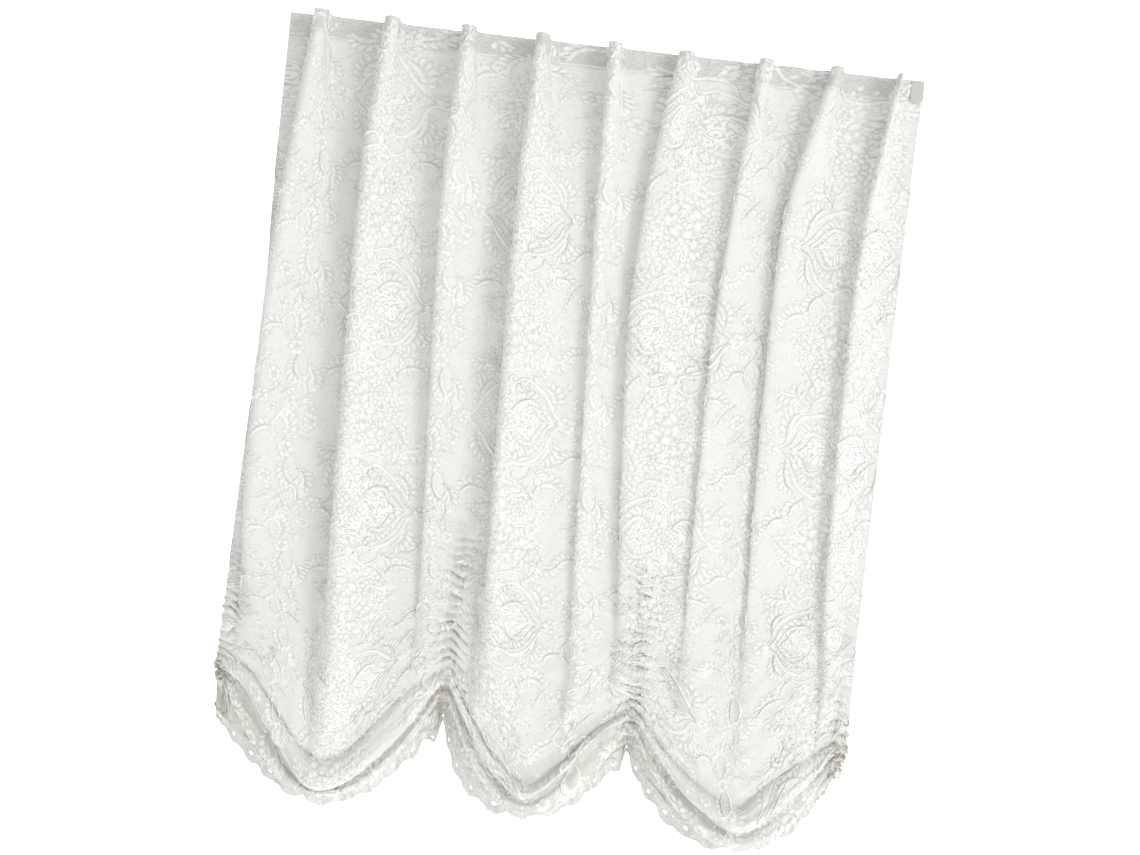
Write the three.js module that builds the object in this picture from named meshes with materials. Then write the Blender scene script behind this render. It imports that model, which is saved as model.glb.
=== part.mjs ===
// A white lace window curtain that hangs from its top edge. The panel falls in nine narrow folds, is drawn up
// on four upright tapes near its foot, and sags between them in three swags with a scalloped lace edging.
// Millimetres, +Z up, front towards -Y. The origin is the middle of the top edge, where the curtain is held.
import * as THREE from "three";

// Driving sizes.
const clothThick = 1.6; // the panel and its edging
const tapeThick = 1.0;
const seamGap = 0.5; // clear space between two layers that are sewn together
const headingDeep = 42; // depth of the heading tape below the top edge
const spreadDrop = 330; // drop at which the pinched folds have opened to their full width
const slackDrop = 990; // drop from which the folds slacken towards the swags
const gatherDrop = 950; // drop at which the draw tapes begin to shorten the cloth
const creaseCloth = 1520; // cloth from the top edge down to the crease above the first swag fold
const ruffleRows = 18; // rows of cloth between gatherDrop and the crease, two for each ruffle
const ruffleOut = 8; // how far a ruffle stands out at its draw tape
const ruffleReach = 46; // how far the ruffles reach to each side of a tape
const tapeHalf = 0.085; // half the width of a draw tape, in columns of the panel
const levelBy = 1.06; // the swag lines other than the hem lie level over the last part of their way to a tape
const ruffleBegins = 60; // drop over which the ruffles begin
const foldFade = 0.85; // share of the folds' depth that is lost by the crease
const ruffleFade = 0.5; // share of the ruffles' depth that is lost by the crease
const nearCrease = 0.1; // last share of the gathered cloth, over which it is lost
const edgingDeep = 42; // depth of the lace edging at the middle of a swag
const edgingPinch = 0.55; // the same at a draw tape, as a share
const edgingLap = 8; // how far its top edge is lapped behind the hem
const lapGap = 0.8;
const scallopDeep = 9; // how far a scallop hangs below the notches beside it
const scallopCount = 33;
const holeWide = 11; // the loop hole in each scallop
const tapeEndShown = 24; // the end of the heading tape that is turned round the right edge to the front
const shoulderReach = 1.15; // the shoulder lies this much short of the tape
const tailEnds = 0.93; // the hem's tail ends here on its way to the tape
const bendLimit = 0.65; // least cosine by which a sheet's thickness is made up at a bend

// Drops at which the figures of a fold are given, from the heading down to the gathers.
const stations = [0, 290, 590, 990, 1290];

// The nine folds, from the left. left: where the fold's steep left side stands at each station.
// out: how far the fold stands in front of the cloth beside it there.
const folds = [
  { left: [-581, -605, -622, -618, -591], out: [60, 50, 40, 35, 20] },
  { left: [-442, -456, -450, -439, -422], out: [60, 58, 55, 55, 45] },
  { left: [-289, -296, -284, -261, -246], out: [55, 50, 35, 20, 10] },
  { left: [-142, -146, -140, -127, -116], out: [60, 58, 55, 48, 28] },
  { left: [3, 11, 25, 45, 61], out: [52, 28, 20, 15, 12] },
  { left: [143, 108, 104, 132, 156], out: [40, 28, 23, 19, 12] },
  { left: [302, 282, 271, 276, 284], out: [50, 24, 16, 12, 8] },
  { left: [445, 388, 383, 394, 409], out: [50, 29, 20, 14, 10] },
  { left: [577, 544, 539, 546, 562], out: [50, 32, 26, 22, 13] },
];
const leftEdge = [-637, -634, -628, -637, -637];
const rightEdge = [637, 633, 630, 627, 625];

// One fold from above, from its foot to the cloth at rest beside the next fold. across: how far it is to the
// next fold. out: share of the fold's depth. Each has a figure for the pinched top, the open fold and the
// slack fold above the swags.
const foldShape = [
  { place: "foot", across: [0.03, 0.05, -0.1], out: [0.0, 0.0, 0.0] },
  { place: "lip", across: [0.0, 0.0, 0.0], out: [0.72, 0.78, 0.7] },
  { place: "crest", across: [0.09, 0.1, 0.12], out: [1.0, 1.0, 1.0] },
  { place: "slope", across: [0.19, 0.32, 0.34], out: [0.75, 0.62, 0.6] },
  { place: "toe", across: [0.23, 0.6, 0.56], out: [0.08, 0.15, 0.15] },
  { place: "rest", across: [0.6, 0.84, 0.76], out: [0.0, 0.0, 0.0] },
];

// The four draw tapes. column: where the tape is, in folds from the left edge. start: drop at which its
// ruffles begin. The rest are the drops of the swag lines at the tape.
const drawTapes = [
  { column: 0.1, start: 1140, crease: 1292, first: 1312, second: 1340, hem: 1424 },
  { column: 3.62, start: 985, crease: 1278, first: 1300, second: 1336, hem: 1378 },
  { column: 6.46, start: 1005, crease: 1316, first: 1330, second: 1362, hem: 1402 },
  { column: 9.86, start: 1080, crease: 1328, first: 1346, second: 1368, hem: 1414 },
];

// The three swags. low: share of the way across at which the swag hangs lowest. The drops of its lines are
// given there.
const swags = [
  { low: 0.49, crease: 1470, first: 1524, second: 1540, hem: 1574 },
  { low: 0.48, crease: 1472, first: 1498, second: 1533, hem: 1556 },
  { low: 0.55, crease: 1474, first: 1516, second: 1554, hem: 1578 },
];

// How each line of a swag climbs to the tapes on its two sides: its power, near 1 a straight V and over 2 a
// round U, and its shoulder, the share by which it levels out before it reaches the tape. tail: share of its
// climb at which the hem stays level until close to the tape.
const climbs = [
  { left: { crease: [0.85, 0.6], first: [1.1, 0.5], second: [1.9, 0], hem: [1.5, 0], tail: 0.95 },
    right: { crease: [1.5, 0.6], first: [1.65, 0], second: [2.1, 0], hem: [1.7, 0], tail: 0.74 } },
  { left: { crease: [1.5, 0], first: [1.5, 0], second: [1.8, 0], hem: [2.9, 0], tail: 1 },
    right: { crease: [1.2, 0.5], first: [0.95, 0.5], second: [1.9, 0], hem: [1.8, 0], tail: 0.72 } },
  { left: { crease: [1.6, 0], first: [1.55, 0], second: [1.85, 0], hem: [2.3, 0], tail: 1 },
    right: { crease: [0.75, 0], first: [1.4, 0], second: [2.4, 0], hem: [1.9, 0], tail: 0.97 } },
];

// The cloth's way below the crease, seen from the side: down the first roll, up behind it, down the second
// roll, up behind that and down to the hem. line: the swag line it follows. toNext: share of the way on to
// the next swag line. up: how far above. out: how far in front of the hanging plane. up and out have a figure
// for mid-swag and one for the tape.
const tuckPath = [
  { place: "crease", line: "crease", toNext: 0, up: [0, 0], out: [50, 21] },
  { place: "first brow", line: "crease", toNext: 0.3, up: [0, 0], out: [62, 28] },
  { place: "first front", line: "crease", toNext: 0.72, up: [0, 0], out: [67, 31] },
  { place: "first foot", line: "first", toNext: 0, up: [0, 0], out: [59, 25] },
  { place: "first heel", line: "first", toNext: 0, up: [1, 1], out: [49, 18] },
  { place: "first back", line: "first", toNext: 0, up: [56, 14], out: [39, 12] },
  { place: "first top", line: "first", toNext: 0, up: [58, 15], out: [33, 7] },
  { place: "second brow", line: "first", toNext: 0.2, up: [0, 0], out: [33, 8] },
  { place: "second front", line: "first", toNext: 0.65, up: [0, 0], out: [42, 11] },
  { place: "second foot", line: "second", toNext: 0, up: [0, 0], out: [36, 5] },
  { place: "second heel", line: "second", toNext: 0, up: [1, 1], out: [27, -2] },
  { place: "second back", line: "second", toNext: 0, up: [48, 11], out: [14, -9] },
  { place: "second top", line: "second", toNext: 0, up: [50, 12], out: [7, -14] },
  { place: "hem face", line: "sewn", toNext: 0, up: [22, 6], out: [0, -18] },
  { place: "sewn line", line: "sewn", toNext: 0, up: [0, 0], out: [-6, -20] },
];
const nextLine = { crease: "first", first: "second", second: "sewn", sewn: "sewn" };
const edgingOut = [-10, -22]; // how far in front of the hanging plane the edging ends

const lowestStation = stations[stations.length - 1];
const clamp = (value) => Math.min(1, Math.max(0, value));
const mix = (from, to, share) => from + (to - from) * share;
const ease = (share) => clamp(share) ** 2 * (3 - 2 * clamp(share));

// A figure that is given at each station, at any drop.
function atDrop(figures, drop) {
  const last = stations.length - 1;
  const below = stations.findIndex((station) => station > drop);
  if (below < 0) return figures[last];
  const share = (drop - stations[below - 1]) / (stations[below] - stations[below - 1]);
  return mix(figures[below - 1], figures[below], ease(share));
}

// A figure of the fold's shape at a drop.
function shapeAt([pinched, open, slack], drop) {
  const slackened = ease((drop - slackDrop) / (lowestStation - slackDrop));
  return mix(mix(pinched, open, ease(drop / spreadDrop)), slack, slackened);
}

// A column of the panel in plan at a drop. Columns run from 0, the left edge, to 10, the right edge.
// Column 1 is the foot of the first fold, and so on.
function columnAt(column, drop) {
  const bay = Math.min(Math.floor(column), folds.length);
  const footOf = (index) => {
    const own = atDrop(folds[index].left, drop);
    const next = index + 1 < folds.length ? folds[index + 1].left : rightEdge;
    return own + (atDrop(next, drop) - own) * shapeAt(foldShape[0].across, drop);
  };
  if (bay === 0) return { x: mix(atDrop(leftEdge, drop), footOf(0), column), out: 0 };
  const fold = folds[bay - 1];
  const left = atDrop(fold.left, drop);
  const isLast = bay === folds.length;
  const nextLeft = atDrop(isLast ? rightEdge : folds[bay].left, drop);
  const nextFoot = isLast ? nextLeft : footOf(bay);
  const places = foldShape.map(({ across, out }) => ({
    x: left + (nextLeft - left) * shapeAt(across, drop),
    out: atDrop(fold.out, drop) * shapeAt(out, drop),
  }));
  places.push({ x: nextFoot, out: 0 });
  const along = (column - bay) * (places.length - 1);
  const step = Math.min(Math.floor(along), places.length - 2);
  return {
    x: mix(places[step].x, places[step + 1].x, along - step),
    out: mix(places[step].out, places[step + 1].out, along - step),
  };
}

const columnX = (column) => columnAt(column, lowestStation).x;
drawTapes.forEach((tape) => {
  tape.x = columnX(tape.column);
});

// Where a column lies in its swag: the swag, the tape towards which it lies and how the lines climb there,
// and how far towards the tape it is (0 at the lowest point).
function inSwag(column) {
  const x = columnX(column);
  const inner = drawTapes.slice(1, -1).filter((tape) => tape.x <= x).length;
  const [leftTape, rightTape] = [drawTapes[inner], drawTapes[inner + 1]];
  const swag = swags[inner];
  const lowX = mix(leftTape.x, rightTape.x, swag.low);
  const [tape, climb] = x < lowX ? [leftTape, climbs[inner].left] : [rightTape, climbs[inner].right];
  return { swag, tape, climb, toTape: clamp(Math.abs(x - lowX) / Math.abs(tape.x - lowX)) };
}

// The drop of a swag line at a column.
function lineDrop(line, column) {
  const { swag, tape, climb, toTape } = inSwag(column);
  if (line === "sewn") {
    const deep = mix(edgingDeep, edgingDeep * edgingPinch, toTape ** 2);
    return lineDrop("hem", column) - deep;
  }
  const [power, shoulder] = climb[line];
  const along = line === "hem" ? toTape : clamp(toTape * levelBy);
  const climbed = mix(along ** power, ease(shoulderReach * along), shoulder);
  const level = line === "hem" ? mix(climb.tail, 1, ease((toTape - tailEnds) / (1 - tailEnds))) : 1;
  return mix(swag[line], tape[line], Math.min(climbed, level));
}

const bellyShare = (column) => 1 - inSwag(column).toTape ** 1.5;

// The point of the panel at a column, cloth millimetres down from the top edge, above the crease.
function hangingPoint(column, cloth, ruffleSide) {
  const crease = lineDrop("crease", column);
  const lower = clamp((cloth - gatherDrop) / (creaseCloth - gatherDrop));
  const drop = cloth < gatherDrop ? cloth : mix(gatherDrop, crease, lower);
  const plan = columnAt(column, cloth);
  const creaseOut = mix(tuckPath[0].out[1], tuckPath[0].out[0], bellyShare(column));
  const foldLeft = 1 - foldFade * ease((cloth - lowestStation) / (creaseCloth - lowestStation));
  let out = plan.out * foldLeft + creaseOut * ease(lower);
  for (const tape of drawTapes) {
    const near = Math.exp(-(((plan.x - tape.x) / ruffleReach) ** 2));
    const begun = clamp((drop - tape.start) / ruffleBegins);
    const left = 1 - ruffleFade * ease((lower - 1 + nearCrease) / nearCrease);
    out += ruffleSide * ruffleOut * near * begun * left;
  }
  return new THREE.Vector3(plan.x, -out, -drop);
}

// The point of the panel at a column and a place of the tuck path.
function tuckedPoint(column, place) {
  const share = bellyShare(column);
  const lineAt = mix(lineDrop(place.line, column), lineDrop(nextLine[place.line], column), place.toNext);
  const drop = lineAt - mix(place.up[1], place.up[0], share);
  return new THREE.Vector3(columnX(column), -mix(place.out[1], place.out[0], share), -drop);
}

// Directions from a grid of points towards the front, longer at a bend so that a sheet keeps its thickness.
function gridNormals(rows) {
  const faceNormal = (r, c) => {
    if (r < 0 || c < 0 || r > rows.length - 2 || c > rows[0].length - 2) return null;
    const [a, b, d, e] = [rows[r][c], rows[r + 1][c], rows[r + 1][c + 1], rows[r][c + 1]];
    return d.clone().sub(a).cross(e.clone().sub(b)).normalize();
  };
  return rows.map((row, r) =>
    row.map((point, c) => {
      const [above, beside] = [r - 1, c - 1];
      const upper = [faceNormal(above, beside), faceNormal(above, c)];
      const corners = [...upper, faceNormal(r, beside), faceNormal(r, c)];
      const faces = corners.filter((corner) => corner !== null);
      const sum = faces.reduce((total, face) => total.add(face), new THREE.Vector3()).normalize();
      const leastAlong = Math.min(...faces.map((face) => face.dot(sum)));
      return sum.divideScalar(Math.max(leastAlong, bendLimit));
    }),
  );
}

// A closed sheet of one thickness over a grid of points. offset moves it along the normals, behind when
// negative. isHole leaves out a square of the grid, so that the sheet has an opening there.
function sheetGeometry(rows, normals, thick, offset = 0, isHole = () => false) {
  const width = rows[0].length;
  const layer = rows.length * width;
  const positions = [];
  for (const side of [1, -1])
    rows.forEach((row, r) =>
      row.forEach((point, c) => {
        const moved = point.clone().addScaledVector(normals[r][c], offset + (side * thick) / 2);
        positions.push(moved.x, moved.y, moved.z);
      }),
    );
  const at = (r, c) => r * width + c;
  const kept = (r, c) => r >= 0 && c >= 0 && r < rows.length - 1 && c < width - 1 && !isHole(r, c);
  const index = [];
  const rim = (a, b) => index.push(a, a + layer, b, b, a + layer, b + layer);
  for (let r = 0; r < rows.length - 1; r += 1)
    for (let c = 0; c < width - 1; c += 1) {
      if (!kept(r, c)) continue;
      const [a, b, d, e] = [at(r, c), at(r + 1, c), at(r + 1, c + 1), at(r, c + 1)];
      index.push(a, b, d, a, d, e);
      index.push(a + layer, d + layer, b + layer, a + layer, e + layer, d + layer);
      if (!kept(r, c - 1)) rim(a, b);
      if (!kept(r + 1, c)) rim(b, d);
      if (!kept(r, c + 1)) rim(d, e);
      if (!kept(r - 1, c)) rim(e, a);
    }
  return closedGeometry(positions, index);
}

// A geometry of the points that the faces use.
function closedGeometry(positions, index) {
  const used = new Map();
  const kept = [];
  const newIndex = index.map((old) => {
    if (!used.has(old)) {
      used.set(old, kept.length / 3);
      kept.push(positions[3 * old], positions[3 * old + 1], positions[3 * old + 2]);
    }
    return used.get(old);
  });
  const geometry = new THREE.BufferGeometry();
  geometry.setAttribute("position", new THREE.Float32BufferAttribute(kept, 3));
  geometry.setIndex(newIndex);
  geometry.computeVertexNormals();
  return geometry;
}

// The columns of the panel: each place of each fold, and three for each draw tape.
function panelColumns() {
  const columns = [0, 0.2, 0.6];
  folds.forEach((fold, index) => {
    foldShape.forEach((place, p) => columns.push(index + 1 + p / foldShape.length));
  });
  const lastColumn = folds.length + 1;
  const ofTapes = drawTapes.flatMap(({ column }) => [column - tapeHalf, column, column + tapeHalf]);
  const nearest = tapeHalf * 0.6;
  const clear = columns.filter((column) => ofTapes.every((own) => Math.abs(column - own) > nearest));
  return [...new Set([0, ...clear, ...ofTapes, lastColumn])].sort((a, b) => a - b);
}

// The rows of the panel above the crease: cloth from the top edge, and the side to which a ruffle stands.
function panelRows() {
  const rows = [0, headingDeep, 130, 290, 440, 590, 770, gatherDrop].map((cloth) => ({ cloth, side: 0 }));
  for (let i = 1; i < ruffleRows; i += 1)
    rows.push({ cloth: mix(gatherDrop, creaseCloth, i / ruffleRows), side: i % 2 === 0 ? -1 : 1 });
  return rows;
}

const columns = panelColumns();
const hangingRows = panelRows();
const panelGrid = [
  ...hangingRows.map(({ cloth, side }) => columns.map((column) => hangingPoint(column, cloth, side))),
  ...tuckPath.map((place) => columns.map((column) => tuckedPoint(column, place))),
];
const panelNormals = gridNormals(panelGrid);

const curtain = new THREE.Group();
function addPiece(name, geometry, color, roughness) {
  const material = new THREE.MeshStandardMaterial({ color, roughness, metalness: 0 });
  const mesh = new THREE.Mesh(geometry, material);
  mesh.name = name;
  curtain.add(mesh);
}

// The panel: one length of figured lace with its side hems and bottom hem.
addPiece("curtain_panel", sheetGeometry(panelGrid, panelNormals, clothThick), 0xf2f2ee, 0.85);

// The heading tape: sewn behind the top edge, its right end turned round the edge to the front.
const behind = -(clothThick / 2 + seamGap + tapeThick / 2);
function headingTape() {
  const headingRows = [0, 1];
  const backX = rightEdge[0];
  const turn = clothThick / 2 + seamGap + tapeThick / 2;
  const end = [
    { x: backX + turn, y: turn, toward: [-1, -1] },
    { x: backX + turn, y: -turn, toward: [-1, 1] },
    { x: backX, y: -turn, toward: [0, 1] },
    { x: backX - tapeEndShown, y: -turn, toward: [0, 1] },
  ];
  const rows = headingRows.map((r) => {
    const back = panelGrid[r].map((point, c) => point.clone().addScaledVector(panelNormals[r][c], behind));
    return [...back, ...end.map(({ x, y }) => new THREE.Vector3(x, y, panelGrid[r][0].z))];
  });
  const normals = headingRows.map((r) => [
    ...panelNormals[r],
    ...end.map(({ toward }) => new THREE.Vector3(toward[0], toward[1], 0)),
  ]);
  return sheetGeometry(rows, normals, tapeThick);
}
addPiece("heading_tape", headingTape(), 0xe2e2de, 0.9);

// The draw tapes: sewn behind the panel along each gather, ruffled up with it.
drawTapes.forEach((tape, index) => {
  const first = hangingRows.findIndex(({ cloth }) => hangingPoint(tape.column, cloth, 0).z < -tape.start);
  const tapeRows = hangingRows.map((row, r) => r).filter((r) => r >= first - 1);
  const tapeColumns = [-1, 0, 1].map((side) => columns.indexOf(tape.column + side * tapeHalf));
  const pick = (grid) => tapeRows.map((r) => tapeColumns.map((c) => grid[r][c]));
  const geometry = sheetGeometry(pick(panelGrid), pick(panelNormals), tapeThick, behind);
  addPiece(`draw_tape_${index + 1}`, geometry, 0xe8e8e4, 0.9);
});

// The lace edging: a strip of scallops lapped behind the hem and sewn to it, one loop hole in each.
function laceEdging() {
  const cells = 4; // squares of the grid across a scallop, and down it
  const holeDown = 0.52; // place of the hole down the strip
  const outward = 0.6; // how far the strip leans out from the swag where the hem is steep
  const lastColumn = folds.length + 1;
  const sewn = tuckPath[tuckPath.length - 1];
  const widths = columns.map((column) => tuckedPoint(column, sewn));
  const reach = [0];
  widths.slice(1).forEach((point, i) => reach.push(reach[i] + point.distanceTo(widths[i])));
  const total = reach[reach.length - 1];
  const atReach = (wanted) => {
    const step = Math.max(1, reach.findIndex((value) => value >= wanted - 1e-6));
    const share = clamp((wanted - reach[step - 1]) / (reach[step] - reach[step - 1]));
    const column = mix(columns[step - 1], columns[step], share);
    const along = widths[step].clone().sub(widths[step - 1]).normalize();
    return { column, top: widths[step - 1].clone().lerp(widths[step], share), slope: along.z };
  };
  const scallopWide = total / scallopCount;
  const rows = [];
  const normals = [];
  const ring = holeWide / 2 / scallopWide;
  for (let r = 0; r <= cells; r += 1) {
    const row = [];
    for (let c = 0; c <= scallopCount * cells; c += 1) {
      const scallop = Math.min(Math.floor(c / cells), scallopCount - 1);
      const inner = c - scallop * cells;
      let across = inner / cells;
      let down = r / cells;
      if (inner > 0 && inner < cells && r > 0 && r < cells) {
        const angle = Math.atan2(r - cells / 2, inner - cells / 2);
        const onRing = inner !== cells / 2 || r !== cells / 2 ? 1 : 0;
        across = 0.5 + onRing * ring * Math.cos(angle);
        down = holeDown + (onRing * (holeWide / 2) * Math.sin(angle)) / (edgingDeep - scallopDeep / 2);
      }
      const { column, top, slope } = atReach((scallop + across) * scallopWide);
      const share = bellyShare(Math.min(lastColumn, column));
      const deep = mix(edgingDeep * edgingPinch, edgingDeep, share) + edgingLap;
      const lobe = scallopDeep * (1 - Math.sin(Math.PI * across)) * (r === cells ? 1 : 0.5 * ease(down));
      const y = mix(top.y, -mix(edgingOut[1], edgingOut[0], share), down) + clothThick + lapGap;
      const hangs = new THREE.Vector3(slope * outward * (1 - inSwag(column).toTape ** 4), 0, -1).normalize();
      const reachDown = down * deep - edgingLap - lobe;
      row.push(new THREE.Vector3(top.x + hangs.x * reachDown, y, top.z + hangs.z * reachDown));
    }
    rows.push(row);
  }
  gridNormals(rows).forEach((row) => normals.push(row));
  const middle = [cells / 2 - 1, cells / 2];
  const isHole = (r, c) => middle.includes(r) && middle.includes(c % cells);
  return sheetGeometry(rows, normals, clothThick, 0, isHole);
}
addPiece("lace_edging", laceEdging(), 0xf4f2ea, 0.85);

export default curtain;
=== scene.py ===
import bisect
import math

import bpy
from mathutils import Matrix, Vector, noise


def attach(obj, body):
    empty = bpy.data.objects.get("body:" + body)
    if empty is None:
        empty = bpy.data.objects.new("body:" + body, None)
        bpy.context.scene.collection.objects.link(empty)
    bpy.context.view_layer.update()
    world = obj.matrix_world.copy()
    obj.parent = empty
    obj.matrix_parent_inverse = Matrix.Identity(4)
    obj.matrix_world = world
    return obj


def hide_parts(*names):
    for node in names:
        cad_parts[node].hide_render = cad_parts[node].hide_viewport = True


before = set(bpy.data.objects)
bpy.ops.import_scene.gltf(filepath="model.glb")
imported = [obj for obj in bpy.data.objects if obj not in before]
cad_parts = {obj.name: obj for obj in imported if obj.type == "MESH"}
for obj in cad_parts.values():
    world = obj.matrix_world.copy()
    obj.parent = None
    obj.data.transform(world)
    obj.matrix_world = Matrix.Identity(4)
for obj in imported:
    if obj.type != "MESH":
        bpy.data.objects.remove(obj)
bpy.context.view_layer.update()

# The camera stands straight in front of the curtain, level with the middle of its drop, and is rolled so
# that the top edge runs down to the right.
camera_right = 0.009
camera_distance = 3.0
camera_level = -0.765
width_seen = 2.28
camera_roll = math.radians(6.3)


def put(name, data):
    """An object in the scene for a mesh, a camera or a lamp."""
    piece = bpy.data.objects.new(name, data)
    bpy.context.scene.collection.objects.link(piece)
    return piece


camera = put("camera", bpy.data.cameras.new("camera"))
camera.data.sensor_width = 36.0
camera.data.lens = camera.data.sensor_width * camera_distance / width_seen
stands_at = Matrix.Translation((camera_right, -camera_distance, camera_level))
look_level = Matrix.Rotation(math.radians(90), 4, "X")
camera.matrix_world = stands_at @ look_level @ Matrix.Rotation(camera_roll, 4, "Z")
bpy.context.scene.camera = camera


# The lace panel: one length of sheer white figured lace with its side hems, hung from the heading tape in
# nine narrow folds, drawn up along four tapes, and turned under in two soft tucks above the hem of each swag.
# All its sizes are in millimetres, and its drops are measured down from the top edge.
mm = 0.001
spread_drop = 330  # the pinched folds have opened here
slack_drop = 990  # the folds slacken from here down
gather_drop = 950  # the tapes begin to shorten the cloth here
crease_cloth = 1520  # cloth from the top edge to the crease above the first tuck
stations = [0, 290, 590, 990, 1290]
left_edge = [-637, -634, -628, -637, -637]
right_edge = [637, 633, 630, 627, 625]
folds = [
    {"left": [-581, -605, -622, -618, -591], "out": [60, 50, 40, 35, 20]},
    {"left": [-442, -456, -450, -439, -422], "out": [60, 58, 55, 55, 45]},
    {"left": [-289, -296, -284, -261, -246], "out": [55, 50, 35, 20, 10]},
    {"left": [-142, -146, -140, -127, -116], "out": [60, 58, 55, 48, 28]},
    {"left": [3, 11, 25, 45, 61], "out": [52, 28, 20, 15, 12]},
    {"left": [143, 108, 104, 132, 156], "out": [40, 28, 23, 19, 12]},
    {"left": [302, 282, 271, 276, 284], "out": [50, 24, 16, 12, 8]},
    {"left": [445, 388, 383, 394, 409], "out": [50, 29, 20, 14, 10]},
    {"left": [577, 544, 539, 546, 562], "out": [50, 32, 26, 22, 13]},
]
# Each place of a fold: how far across to the next fold, and out as a share of its depth, for the pinched top,
# the open fold and the slack fold.
fold_shape = [
    {"place": "foot", "across": [0.03, 0.05, -0.1], "out": [0.0, 0.0, 0.0]},
    {"place": "lip", "across": [0.0, 0.0, 0.0], "out": [0.72, 0.78, 0.7]},
    {"place": "crest", "across": [0.09, 0.1, 0.12], "out": [1.0, 1.0, 1.0]},
    {"place": "slope", "across": [0.19, 0.32, 0.34], "out": [0.75, 0.62, 0.6]},
    {"place": "toe", "across": [0.23, 0.6, 0.56], "out": [0.08, 0.15, 0.15]},
    {"place": "rest", "across": [0.6, 0.84, 0.76], "out": [0.0, 0.0, 0.0]},
]
draw_tapes = [
    {"column": 0.1, "start": 1140, "crease": 1292, "first": 1312, "second": 1340, "hem": 1424},
    {"column": 3.62, "start": 985, "crease": 1278, "first": 1300, "second": 1336, "hem": 1378},
    {"column": 6.46, "start": 1005, "crease": 1316, "first": 1330, "second": 1362, "hem": 1402},
    {"column": 9.86, "start": 1080, "crease": 1328, "first": 1346, "second": 1368, "hem": 1414},
]
swags = [
    {"low": 0.49, "crease": 1470, "first": 1524, "second": 1540, "hem": 1574},
    {"low": 0.48, "crease": 1472, "first": 1498, "second": 1533, "hem": 1556},
    {"low": 0.55, "crease": 1474, "first": 1516, "second": 1554, "hem": 1578},
]
# How each line of a swag climbs to the tapes on its two sides: its power, near 1 a straight V and over 2 a
# round U, and its shoulder, the share by which it levels out before it reaches the tape. tail: share of its
# climb at which the hem stays level until close to the tape.
climb_lines = ["crease", "first", "second", "hem"]
climbs = [
    {"left": [[0.85, 0.6], [1.1, 0.5], [1.9, 0], [1.5, 0]], "left tail": 0.95,
     "right": [[1.5, 0.6], [1.65, 0], [2.1, 0], [1.7, 0]], "right tail": 0.74},
    {"left": [[1.5, 0], [1.5, 0], [1.8, 0], [2.9, 0]], "left tail": 1,
     "right": [[1.2, 0.5], [0.95, 0.5], [1.9, 0], [1.8, 0]], "right tail": 0.72},
    {"left": [[1.6, 0], [1.55, 0], [1.85, 0], [2.3, 0]], "left tail": 1,
     "right": [[0.75, 0], [1.4, 0], [2.4, 0], [1.9, 0]], "right tail": 0.97},
]
shoulder_reach = 1.15  # the shoulder lies this much short of the tape
tail_ends = 0.93  # the hem's tail ends here on its way to the tape
# The cloth's way below the crease: down the first roll, up behind it, down the second roll, up behind that
# and down to the hem. to_next: share of the way on to the next swag line. up: how far above. out: how far in
# front of the hanging plane. up and out have a figure for mid-swag and one for the tape.
tuck_parts = ("place", "line", "to_next", "up", "out")
tuck_path = [dict(zip(tuck_parts, row)) for row in (
    ("crease", "crease", 0, [0, 0], [50, 21]),
    ("first brow", "crease", 0.3, [0, 0], [62, 28]),
    ("first front", "crease", 0.72, [0, 0], [67, 31]),
    ("first foot", "first", 0, [0, 0], [59, 25]),
    ("first heel", "first", 0, [1, 1], [49, 18]),
    ("first back", "first", 0, [56, 14], [39, 12]),
    ("first top", "first", 0, [58, 15], [33, 7]),
    ("second brow", "first", 0.2, [0, 0], [33, 8]),
    ("second front", "first", 0.65, [0, 0], [42, 11]),
    ("second foot", "second", 0, [0, 0], [36, 5]),
    ("second heel", "second", 0, [1, 1], [27, -2]),
    ("second back", "second", 0, [48, 11], [14, -9]),
    ("second top", "second", 0, [50, 12], [7, -14]),
    ("hem face", "sewn", 0, [22, 6], [0, -18]),
    ("sewn line", "sewn", 0, [0, 0], [-6, -20]),
)]
next_line = {"crease": "first", "first": "second", "second": "sewn", "sewn": "sewn"}
edging_deep = 42
edging_pinch = 0.55  # depth of the edging at a tape, as a share of its full depth
tape_half = 12  # half the width of a draw tape
level_by = 1.06  # the swag lines other than the hem lie level over the last part of their way to a tape
ruffle_pitch = 19
ruffle_out = 3.7
ruffle_reach = 260  # no ruffle goes further from its tape than this
ruffle_core = 19  # each ruffle is strongest this close to its tape
ruffle_lengths = [30, 80, 40]  # the shortest, how much longer the others are, and how much longer low down
ruffles_begin_over = 45
smooth_start = [110, 90]  # the right edge stays almost smooth this far down, and then ruffles up over this
slope_left = [-0.55, 0.2]  # how steeply the ruffles run down towards the left of a tape, higher and lower
slope_right = [0.2, 0.7]
puff_out = 2.2  # how far a ruffle puffs out between the two stitched lines of its tape
stitch_dip = 2.6  # how far the stitched lines pull in
low_drop = 1050  # the cloth crumples more from here down
seam_ridge = 39.5  # the heading seam puckers up here and pulls in just below
seam_groove = 44
seam_high = 1.3
seam_deep = 1.8
rumpled_to = 50  # the heading is rumpled by its own gathering down to here


def clamp(value):
    return min(1.0, max(0.0, value))


def mix(first, last, share):
    return first + (last - first) * share


def ease(share):
    share = clamp(share)
    return share * share * (3 - 2 * share)


def within(distance, reach):
    """1 at no distance, dying away over a reach."""
    return math.exp(-((distance / reach) ** 2))


def ripple(x, y, z):
    """A smooth unevenness between about -1 and 1, always the same at the same place."""
    return noise.noise(Vector((x, y, z)))


def smooth_between(before, start, end, after, t):
    """A smooth curve through start and end, with its neighbours giving its direction."""
    return 0.5 * (
        2 * start
        + (end - before) * t
        + (2 * before - 5 * start + 4 * end - after) * t * t
        + (3 * start - before - 3 * end + after) * t * t * t
    )


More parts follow.
